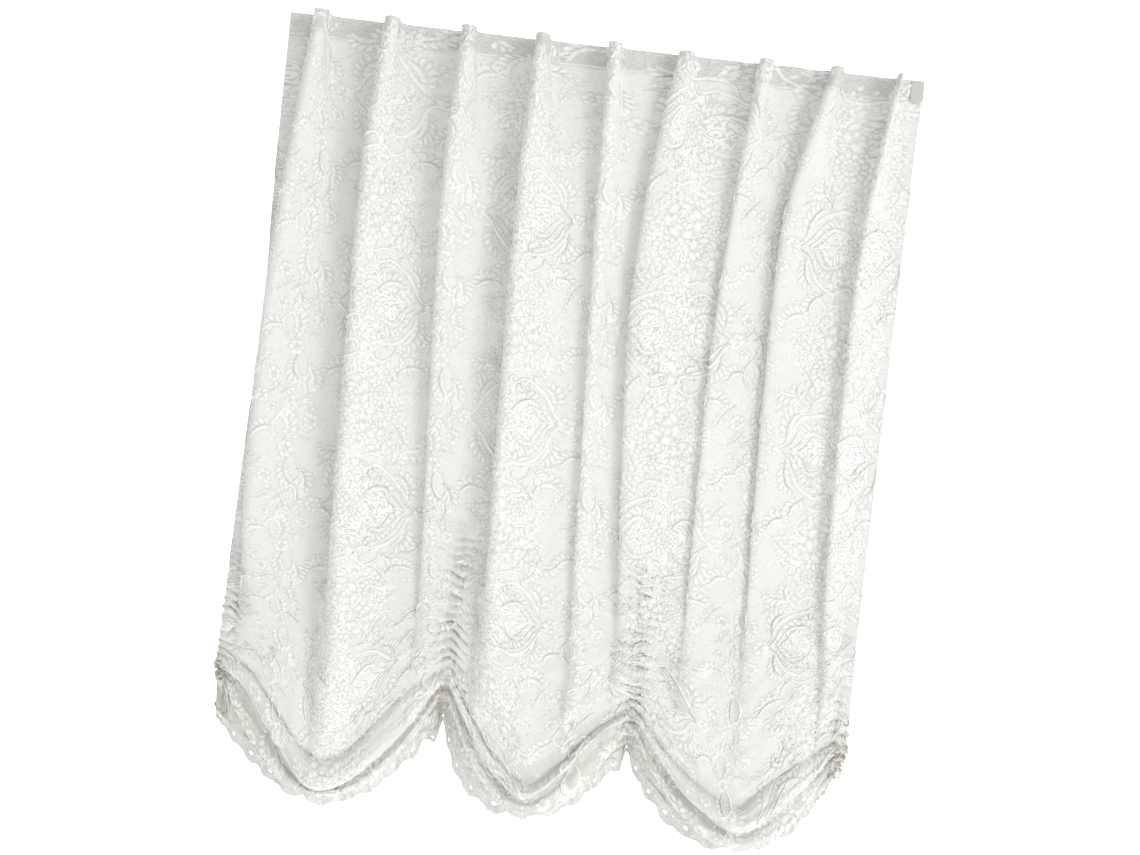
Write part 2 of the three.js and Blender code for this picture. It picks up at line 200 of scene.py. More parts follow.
def at_drop(figures, drop):
    """A figure that is given at each station, at any drop."""
    step = min(max(bisect.bisect_right(stations, drop) - 1, 0), len(stations) - 2)
    span = stations[step + 1] - stations[step]
    t = clamp((drop - stations[step]) / span)

    def slope(i):
        low, high = max(i - 1, 0), min(i + 1, len(stations) - 1)
        return (figures[high] - figures[low]) / (stations[high] - stations[low]) * span

    start, end = figures[step], figures[step + 1]
    curve = 2 * t**3 - 3 * t**2 + 1
    leaving, arriving = t**3 - 2 * t**2 + t, t**3 - t**2
    return curve * start + leaving * slope(step) + (1 - curve) * end + arriving * slope(step + 1)


def shape_at(figures, drop):
    """A figure of the fold's shape, from pinched to open to slack."""
    pinched, opened, slack = figures
    slackened = ease((drop - slack_drop) / (stations[-1] - slack_drop))
    return mix(mix(pinched, opened, ease(drop / spread_drop)), slack, slackened)


def fold_places(drop):
    """The panel from above at a drop: x and out at both edges and at each place of each fold."""
    lefts = [at_drop(fold["left"], drop) for fold in folds] + [at_drop(right_edge, drop)]
    margin = at_drop(left_edge, drop)
    first_foot = lefts[0] + (lefts[1] - lefts[0]) * shape_at(fold_shape[0]["across"], drop)
    places = [(margin, 0.0), (mix(margin, first_foot, 0.5), 0.0)]
    for fold, left, next_left in zip(folds, lefts, lefts[1:]):
        depth = at_drop(fold["out"], drop)
        for place in fold_shape:
            across = shape_at(place["across"], drop)
            places.append((left + (next_left - left) * across, depth * shape_at(place["out"], drop)))
    places.append((lefts[-1], 0.0))
    return places


def between_places(places, index, t):
    """The cloth from above, between one place and the next."""
    last = len(places) - 1
    four = [places[min(max(index + k, 0), last)] for k in (-1, 0, 1, 2)]
    return tuple(smooth_between(*[place[axis] for place in four], t) for axis in (0, 1))


place_columns = [0.0, 0.5]
for fold_index in range(len(folds)):
    place_columns += [fold_index + 1 + k / len(fold_shape) for k in range(len(fold_shape))]
place_columns.append(len(folds) + 1.0)
lowest_places = fold_places(stations[-1])


def lowest_x(column):
    """Where a column stands at the lowest station and below it."""
    index = min(bisect.bisect_right(place_columns, column) - 1, len(place_columns) - 2)
    t = (column - place_columns[index]) / (place_columns[index + 1] - place_columns[index])
    return between_places(lowest_places, index, t)[0]


edge_margin = 2  # the tapes at the sides lie this far in from the edge
for tape in draw_tapes:
    tape["x"] = lowest_x(tape["column"])
    inset = tape_half + edge_margin
    tape["middle"] = min(max(tape["x"], left_edge[-1] + inset), right_edge[-1] - inset)


def in_swag(x):
    """The swag at x, the tape next to x, how the lines climb to it, and how near to it x is."""
    inner = sum(1 for tape in draw_tapes[1:-1] if tape["x"] <= x)
    swag = swags[inner]
    left_tape, right_tape = draw_tapes[inner], draw_tapes[inner + 1]
    low_x = mix(left_tape["x"], right_tape["x"], swag["low"])
    tape, hand = (left_tape, "left") if x < low_x else (right_tape, "right")
    climb = dict(zip(climb_lines, climbs[inner][hand]))
    climb["tail"] = climbs[inner][hand + " tail"]
    towards = clamp(abs(x - low_x) / abs(tape["x"] - low_x))
    rounding = 0.05
    span = math.hypot(1, rounding) - rounding
    return swag, tape, climb, (math.hypot(towards, rounding) - rounding) / span


def line_drop(line, x):
    """The drop of a line of the swags at x."""
    swag, tape, climb, towards = in_swag(x)
    if line == "sewn":
        return line_drop("hem", x) - mix(edging_deep, edging_deep * edging_pinch, towards**2)
    power, shoulder = climb[line]
    along = towards if line == "hem" else clamp(towards * level_by)
    climbed = mix(along**power, ease(shoulder_reach * along), shoulder)
    if line == "hem":
        climbed = min(climbed, mix(climb["tail"], 1, ease((towards - tail_ends) / (1 - tail_ends))))
    return mix(swag[line], tape[line], climbed)


def belly_share(x):
    return 1 - in_swag(x)[3] ** 1.5


def ruffles_at(x, drop, lower):
    """How far the ruffles of the four tapes stand out, and the pull of their stitched lines."""
    out = 0.0
    for index, tape in enumerate(draw_tapes):
        beside = abs(x - tape["x"])
        begun = ease((drop - tape["start"]) / ruffles_begin_over)
        if index == len(draw_tapes) - 1:
            begun *= 0.2 + 0.8 * ease((drop - tape["start"] - smooth_start[0]) / smooth_start[1])
        if begun == 0 or beside > ruffle_reach:
            continue
        away = math.hypot(beside, tape_half) - tape_half
        side = 1 if x > tape["x"] else -1
        steep = mix(*(slope_right if side > 0 else slope_left), lower**2)
        bent = drop - steep * away
        phase = bent / ruffle_pitch + 0.8 * ripple(x / 34, drop / 52, index * 7.3)
        own = ripple(phase * 0.83, index * 11.7, side * 3.1)
        shortest, longer, low_longer = ruffle_lengths
        reach = shortest + longer * clamp(0.5 + 1.3 * own) * (0.5 + 0.5 * lower) + low_longer * lower**4
        fade = 0.55 * within(away, ruffle_core) + 0.45 * within(away, reach)
        uneven = ripple(phase * 0.77, x / 31, index * 5.9 + 2)
        strength = 0.25 + 1.5 * clamp(0.5 + 1.3 * uneven)
        wave = 2 * abs(math.sin(math.pi * phase)) - 1.27
        out += begun * ruffle_out * wave * fade * strength
        puffed = clamp(1 - (abs(x - tape["middle"]) / tape_half) ** 4)
        out += begun * puff_out * puffed * (wave + 0.5)
        dip = stitch_dip * (1.1 - 0.75 * abs(math.sin(math.pi * phase)))
        out -= begun * dip * within(abs(x - tape["middle"]) - tape_half, 2.4)
    return out


def unevenness(x, drop):
    """How far the long ripples of hung lace and the crumples between the gathers stand out."""
    wide = ripple(x / 95, drop / 420, 0.7) * 3.2
    narrow = ripple(x / 27, drop / 260, 5.2) * 1.3
    slanting = ripple((x + 0.5 * drop) / 60, (drop - 0.5 * x) / 210, 9.4) * 1.6
    low = ease((drop - low_drop) / 350)
    crumple = abs(ripple((x + 0.8 * drop) / 52, (drop - 0.8 * x) / 120, 4.4))
    crumple += abs(ripple((x - 0.9 * drop) / 46, (drop + 0.9 * x) / 105, 8.1))
    small = ripple(x / 16, drop / 19, 1.2) * (0.35 + 0.9 * low)
    return (wide + narrow + slanting) * ease(drop / 160) + small - 6.0 * crumple * low


panel_columns = []
for index in range(len(place_columns) - 1):
    first, last = place_columns[index], place_columns[index + 1]
    near_tape = any(first - 0.12 < tape["column"] < last + 0.12 for tape in draw_tapes)
    steps = 12 if near_tape else 5
    panel_columns += [(index, k / steps) for k in range(steps)]
panel_columns.append((len(place_columns) - 2, 1.0))
column_x = [between_places(lowest_places, index, t)[0] for index, t in panel_columns]
column_crease = [line_drop("crease", x) for x in column_x]
column_belly = [belly_share(x) for x in column_x]

upper_cloth = [0, 4, 9, 15, 21, 27, 32, 35, 37.5, 40, 42, 43.5, 45, 47, 50, 54]
upper_cloth += [mix(54, gather_drop, k / 56) for k in range(1, 56)]
gathered_cloth = [mix(gather_drop, crease_cloth, k / 140) for k in range(140)]
crease_dip = 6.5  # how far the cloth dips in above the first roll
dip_wide = 6
tuck_steps = 5
roll_sway = 5.0  # how far the lines of the rolls sway up and down
roll_wander = 3.0  # how far the rolls stand in and out, in long waves and in short ones
roll_flutter = 2.4
roll_pleat = 2.6  # depth of the fine pleats that run along the rolls
bunch_out = 3.2  # how far the bunched cloth sticks out at a tape
bunch_pitch = 9.0
bunch_wide = [15, 24]  # at a middle tape, and at a tape at the edge
bunch_more = [1.0, 2.4]  # how much stronger the bunching is there
edge_wide = 9  # the side edges are pulled in and out by the ruffles over this width
pull_left = 0.55
pull_right = 0.7
edge_tapes_from = 500  # a tape further from the middle than this is one of the two at the edges


def hanging_row(cloth):
    """A row of points above the crease, cloth millimetres down from the top edge."""
    places = fold_places(cloth)
    lower = clamp((cloth - gather_drop) / (crease_cloth - gather_drop))
    fold_left = 1 - ease((cloth - stations[-1]) / (crease_cloth - stations[-1]))
    row = []
    for (index, t), crease, belly in zip(panel_columns, column_crease, column_belly):
        x, out = between_places(places, index, t)
        drop = cloth
        if lower > 0:
            slack = (crease_cloth - gather_drop) / (crease - gather_drop) - 1
            eased = lower + slack * lower * (1 - lower) ** 2
            drop = mix(gather_drop, crease, eased)
        out = out * fold_left + mix(tuck_path[0]["out"][1], tuck_path[0]["out"][0], belly) * ease(lower)
        out -= crease_dip * belly**0.5 * within(crease - drop, dip_wide)
        ruffle = ruffles_at(x, drop, lower)
        out += ruffle + unevenness(x, drop)
        side_pull = within(x - left_edge[-1], edge_wide) + within(x - right_edge[-1], edge_wide)
        x += side_pull * ruffle * (pull_left if x < 0 else pull_right)
        pucker = 1 + 0.9 * ripple(x / 6, 0, 2.6)
        seam = seam_high * within(cloth - seam_ridge, 2) - seam_deep * within(cloth - seam_groove, 1.6)
        seam *= pucker
        if cloth < rumpled_to:
            rumple = 1.1 * ripple(x / 9, cloth / 9, 7.7) + 1.2 * ripple(x / 26, cloth / 14, 3.7)
            seam += rumple * ease((rumpled_to - cloth) / 10)
        row.append(Vector((x, -(out + seam), -drop)))
    return row


def tucked_rows():
    """The rows from the crease down through the two tucks to the sewn line of the hem."""
    columns = []
    for x, belly in zip(column_x, column_belly):
        path = []
        for number, place in enumerate(tuck_path):
            wander = ripple(x / 55, number * 2.7, 1.9)
            flutter = ripple(x / 16, number * 1.3, 6.1)
            up = mix(place["up"][1], place["up"][0], belly)
            out = mix(place["out"][1], place["out"][0], belly)
            line, line_below = place["line"], next_line[place["line"]]
            line_at = mix(line_drop(line, x), line_drop(line_below, x), place["to_next"])
            rolled = clamp(number / 2)
            down = line_at - up * (1 + 0.14 * wander) + roll_sway * wander * rolled * belly
            path.append((down, out + (roll_wander * wander + roll_flutter * flutter) * rolled))
        columns.append(path)
    row_above = hanging_row(crease_cloth - 12)
    rows = []
    for number in range(len(tuck_path) - 1):
        for k in range(tuck_steps):
            rows.append((number, k / tuck_steps))
    rows.append((len(tuck_path) - 2, 1.0))
    grid = []
    for number, t in rows:
        row = []
        for c, path in enumerate(columns):
            four = [path[min(max(number + k, 0), len(path) - 1)] for k in (-1, 0, 1, 2)]
            if number == 0:
                four[0] = (-row_above[c].z, -row_above[c].y)
            drop, out = (smooth_between(*[place[axis] for place in four], t) for axis in (0, 1))
            x = column_x[c]
            begun = clamp(number + t - 0.6)
            pleat = abs(ripple((x + drop) / 150, (number + t) * 1.7, 2.2))
            out += begun * roll_pleat * (1 - 3 * pleat) * (0.4 + 0.6 * column_belly[c])
            for tape in draw_tapes:
                at_edge = abs(tape["x"]) > edge_tapes_from
                bunch = begun * within(x - tape["x"], bunch_wide[at_edge]) * bunch_out * bunch_more[at_edge]
                if bunch > 0.05:
                    sway = 0.9 * ripple(x / 12, drop / 30, 2.2)
                    ridge = abs(math.sin(math.pi * (drop / bunch_pitch + sway)))
                    out += bunch * (1.3 * ridge - 0.8 + ripple(x / 14, (number + t) * 2.6, 4.2))
                    drop += bunch * ripple(x / 7, (number + t) * 1.4, 8.8)
                    outwards = math.copysign(1, x) if at_edge else 0
                    x += bunch * (0.9 * ridge - 0.3) * outwards
            out -= crease_dip * column_belly[c] ** 0.5 * clamp(1 - (number + t) * 1.6)
            settled = clamp(1 - (number + t) / 2)
            ruffle = ruffles_at(x, drop, 1.0) * (0.35 + 0.65 * settled)
            row.append(Vector((x, -(out + ruffle + unevenness(x, column_crease[c]) * settled), -drop)))
        grid.append(row)
    return grid


panel_grid = [hanging_row(cloth) for cloth in upper_cloth + gathered_cloth] + tucked_rows()
crease_row = len(upper_cloth) + len(gathered_cloth)


def grid_normals(grid):
    """Directions towards the front over a grid of points."""
    height, width = len(grid), len(grid[0])
    normals = []
    for r in range(height):
        row = []
        for c in range(width):
            across = grid[r][min(c + 1, width - 1)] - grid[r][max(c - 1, 0)]
            up = grid[max(r - 1, 0)][c] - grid[min(r + 1, height - 1)][c]
            row.append(across.cross(up).normalized())
        normals.append(row)
    return normals


panel_normals = grid_normals(panel_grid)

# Where each column and row lies on the flat cloth: across by the way along the folds at one drop, down by the
# cloth from the top edge and then along the tucks in the middle of a swag.
measured_drop = 640
measured_row = upper_cloth.index(min(upper_cloth, key=lambda cloth: abs(cloth - measured_drop)))
cloth_across = [0.0]
for a, b in zip(panel_grid[measured_row], panel_grid[measured_row][1:]):
    cloth_across.append(cloth_across[-1] + math.hypot(b.x - a.x, b.y - a.y))
# cloth_down is a list for each column.
cloth_to_crease = [float(cloth) for cloth in upper_cloth + gathered_cloth] + [float(crease_cloth)]
cloth_down = []
for c in range(len(column_x)):
    down = list(cloth_to_crease)
    for r in range(crease_row, len(panel_grid) - 1):
        down.append(down[-1] + (panel_grid[r + 1][c] - panel_grid[r][c]).length)
    cloth_down.append(down)
low_x = mix(draw_tapes[0]["x"], draw_tapes[1]["x"], swags[0]["low"])
deepest = min(range(len(column_x)), key=lambda c: abs(column_x[c] - low_x))
flat_width, flat_length = cloth_across[-1], cloth_down[deepest][-1]


def smooth_mesh(name, vertices, faces):
    mesh = bpy.data.meshes.new(name)
    mesh.from_pydata(vertices, [], faces)
    mesh.polygons.foreach_set("use_smooth", [True] * len(mesh.polygons))
    return mesh


def sheet_mesh(name, grid, across, down, left_out=lambda r, c: False):
    """An open sheet over a grid of points in millimetres, with its flat cloth as its UV map, in metres.

    across says where each column lies on the flat cloth, and down, for each column, where its rows lie."""
    width = len(grid[0])
    vertices = [tuple(point * mm) for row in grid for point in row]
    faces = []
    for r in range(len(grid) - 1):
        for c in range(width - 1):
            if not left_out(r, c):
                faces.append((r * width + c, (r + 1) * width + c, (r + 1) * width + c + 1, r * width + c + 1))
    mesh = smooth_mesh(name, vertices, faces)
    flat = mesh.uv_layers.new(name="cloth")
    for loop in mesh.loops:
        r, c = divmod(loop.vertex_index, width)
        flat.data[loop.index].uv = (across[c] * mm, down[c][r] * mm)
    return put(name, mesh)


class Shade:
    """A number, colour or vector of a material, on which sums can be written."""

    def __init__(self, finish, socket):
        self.finish = finish
        self.socket = socket

    def sum(self, operation, *others):
        values = dict(enumerate((self,) + others))
        return self.finish.make("ShaderNodeMath", {"operation": operation}, values)["Value"]

    def __add__(self, other):
        return self.sum("ADD", other)

    __radd__ = __add__

    def __mul__(self, other):
        return self.sum("MULTIPLY", other)

    __rmul__ = __mul__

    def __sub__(self, other):
        return self.sum("SUBTRACT", other)

    def __rsub__(self, other):
        return (self * -1) + other

    def clamped(self):
        return self.sum("MAXIMUM", 0.0).sum("MINIMUM", 1.0)

    def wave(self, pitch):
        """Goes from -1 to 1 and back over each pitch, in metres."""
        return (self * (2 * math.pi / pitch)).sum("SINE")


class Finish:
    """A cloth finish: a material whose nodes are added by make."""

    def __init__(self, name, **fixed):
        self.material = bpy.data.materials.new(name)
        self.material.use_nodes = True
        self.tree = self.material.node_tree
        self.cloth = self.tree.nodes["Principled BSDF"]
        for socket, value in fixed.items():
            self.cloth.inputs[socket.replace("_", " ")].default_value = value

    def make(self, kind, settings, sockets):
        node = self.tree.nodes.new(kind)
        for name, value in settings.items():
            setattr(node, name, value)
        for name, value in sockets.items():
            if isinstance(value, Shade):
                self.tree.links.new(value.socket, node.inputs[name])
            else:
                node.inputs[name].default_value = value
        return {output.name: Shade(self, output) for output in node.outputs if output.enabled}

    def feed(self, socket, shade):
        self.tree.links.new(shade.socket, self.cloth.inputs[socket])

    def flat_cloth(self):
        uv = self.make("ShaderNodeUVMap", {"uv_map": "cloth"}, {})["UV"]
        parts = self.make("ShaderNodeSeparateXYZ", {}, {"Vector": uv})
        return uv, parts["X"], parts["Y"]

    def mottle(self, vector, scale, detail=2.0):
        sockets = {"Vector": vector, "Scale": scale, "Detail": detail}
        return self.make("ShaderNodeTexNoise", {"noise_dimensions": "3D"}, sockets)["Fac"]

    def blend(self, how, share, first, last):
        """A colour from two, each a Shade or three figures: MIX, or MULTIPLY to dye first with last."""
        node = self.tree.nodes.new("ShaderNodeMix")
        node.data_type, node.blend_type = "RGBA", how
        self.tree.links.new(share.socket, node.inputs["Factor"])
        ends = [socket for socket in node.inputs if socket.type == "RGBA"]
        for socket, value in zip(ends, (first, last)):
            if isinstance(value, Shade):
                self.tree.links.new(value.socket, socket)
            else:
                socket.default_value = (*value, 1.0)
        return Shade(self, next(socket for socket in node.outputs if socket.type == "RGBA"))

    def tint(self, share, first, last):
        return self.blend("MIX", share, first, last)

    def dyed(self, colour, share, dye):
        return self.blend("MULTIPLY", share, colour, dye)

    def in_place(self):
        return self.make("ShaderNodeTexCoord", {}, {})["Object"]

    def rise(self):
        """How far up a figure's low relief a point is: 0 at its rim, 1 at its top."""
        return self.make("ShaderNodeAttribute", {"attribute_name": "rise"}, {})["Fac"]

    def relief(self, height, strength, distance):
        sockets = {"Height": height, "Strength": strength, "Distance": distance}
        self.feed("Normal", self.make("ShaderNodeBump", {}, sockets)["Normal"])


lace_ground = Finish("lace_ground", Sheen_Weight=0.2, Sheen_Roughness=0.5, Specular_IOR_Level=0.2)
uv, across, down = lace_ground.flat_cloth()
net_pitch, thread_pitch = 0.0021, 0.0016
net = across.wave(net_pitch) * down.wave(net_pitch)
threads = down.wave(thread_pitch)
cloudy = lace_ground.mottle(uv, 38.0, 4.0)
fine = lace_ground.mottle(uv, 420.0)
hem_wide = 0.016
heading_deep = 42
seam_low = 0.0445
left_hem = ((hem_wide - across) * 900).clamped()
right_hem = ((across - (flat_width * mm - hem_wide)) * 900).clamped()
hem = left_hem.sum("MAXIMUM", right_hem)
# The worked ground: a denser, brighter weave with fine uneven scrolling lines, round the middle of each frame
# and each bunch of flowers and in the heading.
from_middle = []
for flat, first, pitch, half_size in ((across, 0.330, 0.400, 0.118), (down, 0.560, 0.205, 0.100)):
    inside = (flat * (1 / pitch) + (0.5 - first / pitch) + 20).sum("FRACT") - 0.5
    from_middle.append(inside * (pitch / half_size))
near = from_middle[0] * from_middle[0] + from_middle[1] * from_middle[1]
rough = lace_ground.mottle(uv, 24.0, 3.0)
heading_part = ((heading_deep * mm - down) * 700).clamped()
worked = ((1.0 - near) * 1.6 + (rough - 0.5) * 3.4).clamped().sum("MAXIMUM", heading_part)
curls = (lace_ground.mottle(uv, 44.0, 1.5) * 44).sum("SINE")
fine_curls = (lace_ground.mottle(uv, 95.0, 2.0) * 44).sum("SINE")
curls = curls + (fine_curls - curls) * heading_part
curls = (curls * 1.6 - 0.35).clamped()
worked_lines = (worked * 0.8 + 0.2) * curls * (1 - heading_part * 0.4)
plain = lace_ground.tint(cloudy, (0.78, 0.785, 0.76), (0.83, 0.835, 0.81))
white = lace_ground.tint(worked * 0.85, plain, (0.9, 0.905, 0.885))
white = lace_ground.dyed(white, worked_lines, (0.74, 0.745, 0.73))
white = lace_ground.dyed(white, heading_part, (0.86, 0.86, 0.85))
seam_line = (1 - (down - seam_low).sum("ABSOLUTE") * 900).clamped()
white = lace_ground.dyed(white, seam_line, (0.8, 0.8, 0.78))
# Painted shade: the white is darkened towards a warm brown deep in the tucks and the gathers, where the cloth
# lies in its own shade, and the darker specks gather there too.
painted_shade_share = lace_ground.make("ShaderNodeAttribute", {"attribute_name": "painted_shade"}, {})["Fac"]
white = lace_ground.dyed(white, painted_shade_share, (0.85, 0.81, 0.74))
speckle = lace_ground.mottle(uv, 300.0, 3.0)
specks = (painted_shade_share + 0.25).clamped() * ((speckle - 0.56) * 9).clamped()
white = lace_ground.dyed(white, specks, (0.84, 0.825, 0.79))
lace_ground.feed("Base Color", white)
lace_ground.feed("Alpha", (net * 0.03 + 0.95 + hem * 0.05 + (fine - 0.5) * 0.06).clamped())
lace_ground.feed("Roughness", cloudy * 0.14 + 0.7)
raised = net * 0.35 + threads * 0.2 + fine * 0.9 + hem * 1.6
lace_ground.relief(raised - worked_lines * 2.4 + painted_shade_share * speckle * 3, 0.5, 0.0008)


painted_shade_drop = 1250  # painted shade darkens the gathers from here down


def painted_shade_at(r, c):
    """How much painted shade darkens the white towards a warm brown, deep in the tucks and in the gathers."""
    x, drop = panel_grid[r][c].x, -panel_grid[r][c].z
    nearest = min(abs(x - tape["x"]) for tape in draw_tapes)
    gathered = within(nearest, 30) * ease((drop - painted_shade_drop) / 80) * (1.3 if abs(x) > 560 else 0.8)
    tucked = clamp((r - crease_row) / (8 * tuck_steps)) * (0.3 + 0.6 * (1 - column_belly[c]))
    return clamp(max(gathered, tucked) * (0.75 + 0.9 * ripple(x / 26, drop / 17, 3.3)))


# The panel carries its painted shade as a point attribute that its material reads.
panel = sheet_mesh("lace_panel", panel_grid, cloth_across, cloth_down)
painted_shade = panel.data.attributes.new("painted_shade", "FLOAT", "POINT")
places = [(r, c) for r in range(len(panel_grid)) for c in range(len(column_x))]
painted_shade.data.foreach_set("value", [painted_shade_at(r, c) for r, c in places])
panel.data.materials.append(lace_ground.material)
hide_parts("curtain_panel")
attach(panel, "root")


# The figures of the lace: roses, small flowers, leaf sprays and scrolled frames in a denser, brighter thread,
# woven into the panel as a half-drop repeat. Each is a low rounded shape half sunk in the cloth, made flat
# from the repeat's own sizes, and then bent with the cloth.
def off(x, y, way, distance):
    """The point at a distance from x, y in a direction."""
    return x + distance * math.cos(way), y + distance * math.sin(way)


class FigureWork:
    """Low relief shapes on flat cloth, in millimetres to the right, down and out."""

    def __init__(self):
        self.shapes = []

    def dome(self, outline, top, high):
        """A low closed dome with one top point over an outline."""
        ring = len(outline)
        points = [(x, y, 0.0) for x, y in outline] + [(*top, high), (*top, -high * 0.5)]
        faces = [(k, ring, (k + 1) % ring) for k in range(ring)]
        faces += [((k + 1) % ring, ring + 1, k) for k in range(ring)]
        self.shapes.append((points, faces))

    def petal(self, x, y, turn, length, width, high=0.75, blunt=0.55):
        """A petal or leaf from its root at x, y. blunt says how far along it is widest."""
        along, side = (math.cos(turn), math.sin(turn)), (-math.sin(turn), math.cos(turn))
        shape = [(0.0, 0.0), (0.3, 0.78), (blunt, 1.0), (0.86, 0.62), (1.0, 0.0)]
        shape += [(0.86, -0.62), (blunt, -1.0), (0.3, -0.78)]
        outline = []
        for s, w in shape:
            outline.append((
                x + along[0] * s * length + side[0] * w * width / 2,
                y + along[1] * s * length + side[1] * w * width / 2,
            ))
        self.dome(outline, (x + along[0] * length * 0.55, y + along[1] * length * 0.55), high)

    def leaf(self, x, y, turn, length, width, high=0.7):
        """A leaf in two halves beside its midrib."""
        for side in (1, -1):
            self.petal(x, y, turn + side * 0.17, length, width * 0.56, high)

    def cord_line(self, points, widths, high):
        """A raised line through points, as wide at each as widths says, pointed at both ends."""
        found, faces = [], []
        last = len(points) - 1
        for k, (x, y) in enumerate(points):
            before, after = points[max(k - 1, 0)], points[min(k + 1, last)]
            long = math.hypot(after[0] - before[0], after[1] - before[1]) or 1.0
            side = (-(after[1] - before[1]) / long, (after[0] - before[0]) / long)
            half = max(widths[k], 0.15) / 2
            found += [(x + side[0] * half, y + side[1] * half, 0.0), (x, y, high)]
            found += [(x - side[0] * half, y - side[1] * half, 0.0), (x, y, -high * 0.5)]
        for k in range(last):
            for j in range(4):
                a, b = 4 * k + j, 4 * k + (j + 1) % 4
                faces.append((a, a + 4, b + 4, b))
        faces += [(0, 1, 2, 3), (4 * last + 3, 4 * last + 2, 4 * last + 1, 4 * last)]
        self.shapes.append((found, faces))

    def arc(self, x, y, radius, start, sweep, width, high=0.8, steps=6):
        points = [off(x, y, start + sweep * k / steps, radius) for k in range(steps + 1)]
        widths = [width * math.sin(math.pi * (0.1 + 0.8 * k / steps)) for k in range(steps + 1)]
        self.cord_line(points, widths, high)

    def small_flower(self, x, y, radius, petals, turn=0.0):
        for k in range(petals):
            way = turn + 2 * math.pi * k / petals
            root = radius * 0.2
            self.petal(*off(x, y, way, root), way, radius - root, radius * 5.6 / petals, 0.8, 0.66)
        self.petal(x - radius * 0.17, y, 0.0, radius * 0.34, radius * 0.34, 1.0, 0.5)

    def full_flower(self, x, y, radius, turn=0.0):
        """A flower of many narrow petals in two rings."""
        for count, inner_share, outer_share, high in ((13, 0.5, 1.06, 0.9), (9, 0.2, 0.62, 1.1)):
            for k in range(count):
                way = turn + 2 * math.pi * (k + 0.5 * (count == 9)) / count
                root, wide = radius * inner_share, radius * 5.6 / count * outer_share
                long = radius * (outer_share - inner_share)
                self.petal(*off(x, y, way, root), way, long, wide, high, 0.6)
        self.petal(x - radius * 0.15, y, 0.0, radius * 0.3, radius * 0.3, 1.3, 0.5)

    def rose(self, x, y, radius, turn=0.0):
        """A rose of broad petals, ring within ring."""
        for k in range(7):
            way = turn + 2 * math.pi * k / 7
            self.petal(*off(x, y, way, radius * 0.5), way, radius * 0.56, radius * 0.86, 1.0, 0.6)
        for count, root, long, wide, high in ((5, 0.26, 0.4, 0.6, 1.0), (4, 0.08, 0.3, 0.4, 1.1)):
            for k in range(count):
                way = turn + 0.6 * count + 2 * math.pi * k / count
                self.petal(*off(x, y, way, radius * root), way, radius * long, radius * wide, high, 0.66)
        self.petal(x - radius * 0.12, y, 0.3, radius * 0.24, radius * 0.2, 1.2, 0.5)

    def spray(self, x, y, turn, length, leaves, bend=0.5, leaf_long=15.0):
        """A curved stem with leaves to both sides and one at its tip."""
        points = [(x, y)]
        for k in range(1, 7):
            points.append(off(*points[-1], turn + bend * k / 6, length / 6))
        self.cord_line(points, [2.0 - 0.9 * k / 6 for k in range(7)], 0.6)
        for k in range(leaves):
            share = (k + 0.6) / (leaves + 0.4)
            low = min(int(share * 6), 5)
            px = mix(points[low][0], points[low + 1][0], share * 6 - low)
            py = mix(points[low][1], points[low + 1][1], share * 6 - low)
            way = turn + bend * share + (0.9 if k % 2 == 0 else -0.9)
            self.leaf(px, py, way, leaf_long * (1.12 - 0.4 * share), leaf_long * 0.56)
        self.leaf(*points[-1], turn + bend, leaf_long * 0.9, leaf_long * 0.5)

    def plume(self, x, y, turn, length, bend, lobes=6, wide=0.46):
        """A feathery scrolled leaf: lobes that close up towards a curling tip."""
        points, way = [(x, y)], turn
        for k in range(lobes + 1):
            way += bend / (lobes + 1) * (0.5 + k / lobes)
            points.append(off(*points[-1], way, length / (lobes + 1)))
            size = length * wide * math.sin(math.pi * (0.24 + 0.68 * k / (lobes + 1)))
            for side in (1, -1):
                lean = side * (0.72 - 0.03 * k)
                long = size * (1.0 if side * bend < 0 else 0.72)
                self.petal(*points[-1], way + lean, long, size * 0.44, 0.9, 0.6)
        self.cord_line(points, [3.6 * (1 - 0.7 * k / (lobes + 1)) for k in range(lobes + 2)], 1.2)

    def sweep(self, knots, width, high, curl=0.0):
        """A great scroll through its knots that ends in a curl, to the hand that curl says."""
        points = []
        for k in range(len(knots) - 1):
            four = [knots[min(max(k + j, 0), len(knots) - 1)] for j in (-1, 0, 1, 2)]
            for t in range(5):
                points.append(tuple(smooth_between(*[knot[axis] for knot in four], t / 5) for axis in (0, 1)))
        points.append(knots[-1])
        (x, y), (before_x, before_y) = points[-1], points[-2]
        way, step = math.atan2(y - before_y, x - before_x), 5.0
        for k in range(9 if curl else 0):
            way += curl * (0.34 + 0.06 * k)
            step *= 0.93
            points.append(off(*points[-1], way, step))
        last = len(points) - 1
        swell = [0.35 + 0.65 * math.sin(math.pi * (0.08 + 0.84 * k / last)) for k in range(last + 1)]
        self.cord_line(points, [width * share for share in swell], high)
        if curl:
            self.petal(points[-1][0] - width * 0.6, points[-1][1], 0.0, width * 1.2, width * 1.2, 1.2, 0.5)


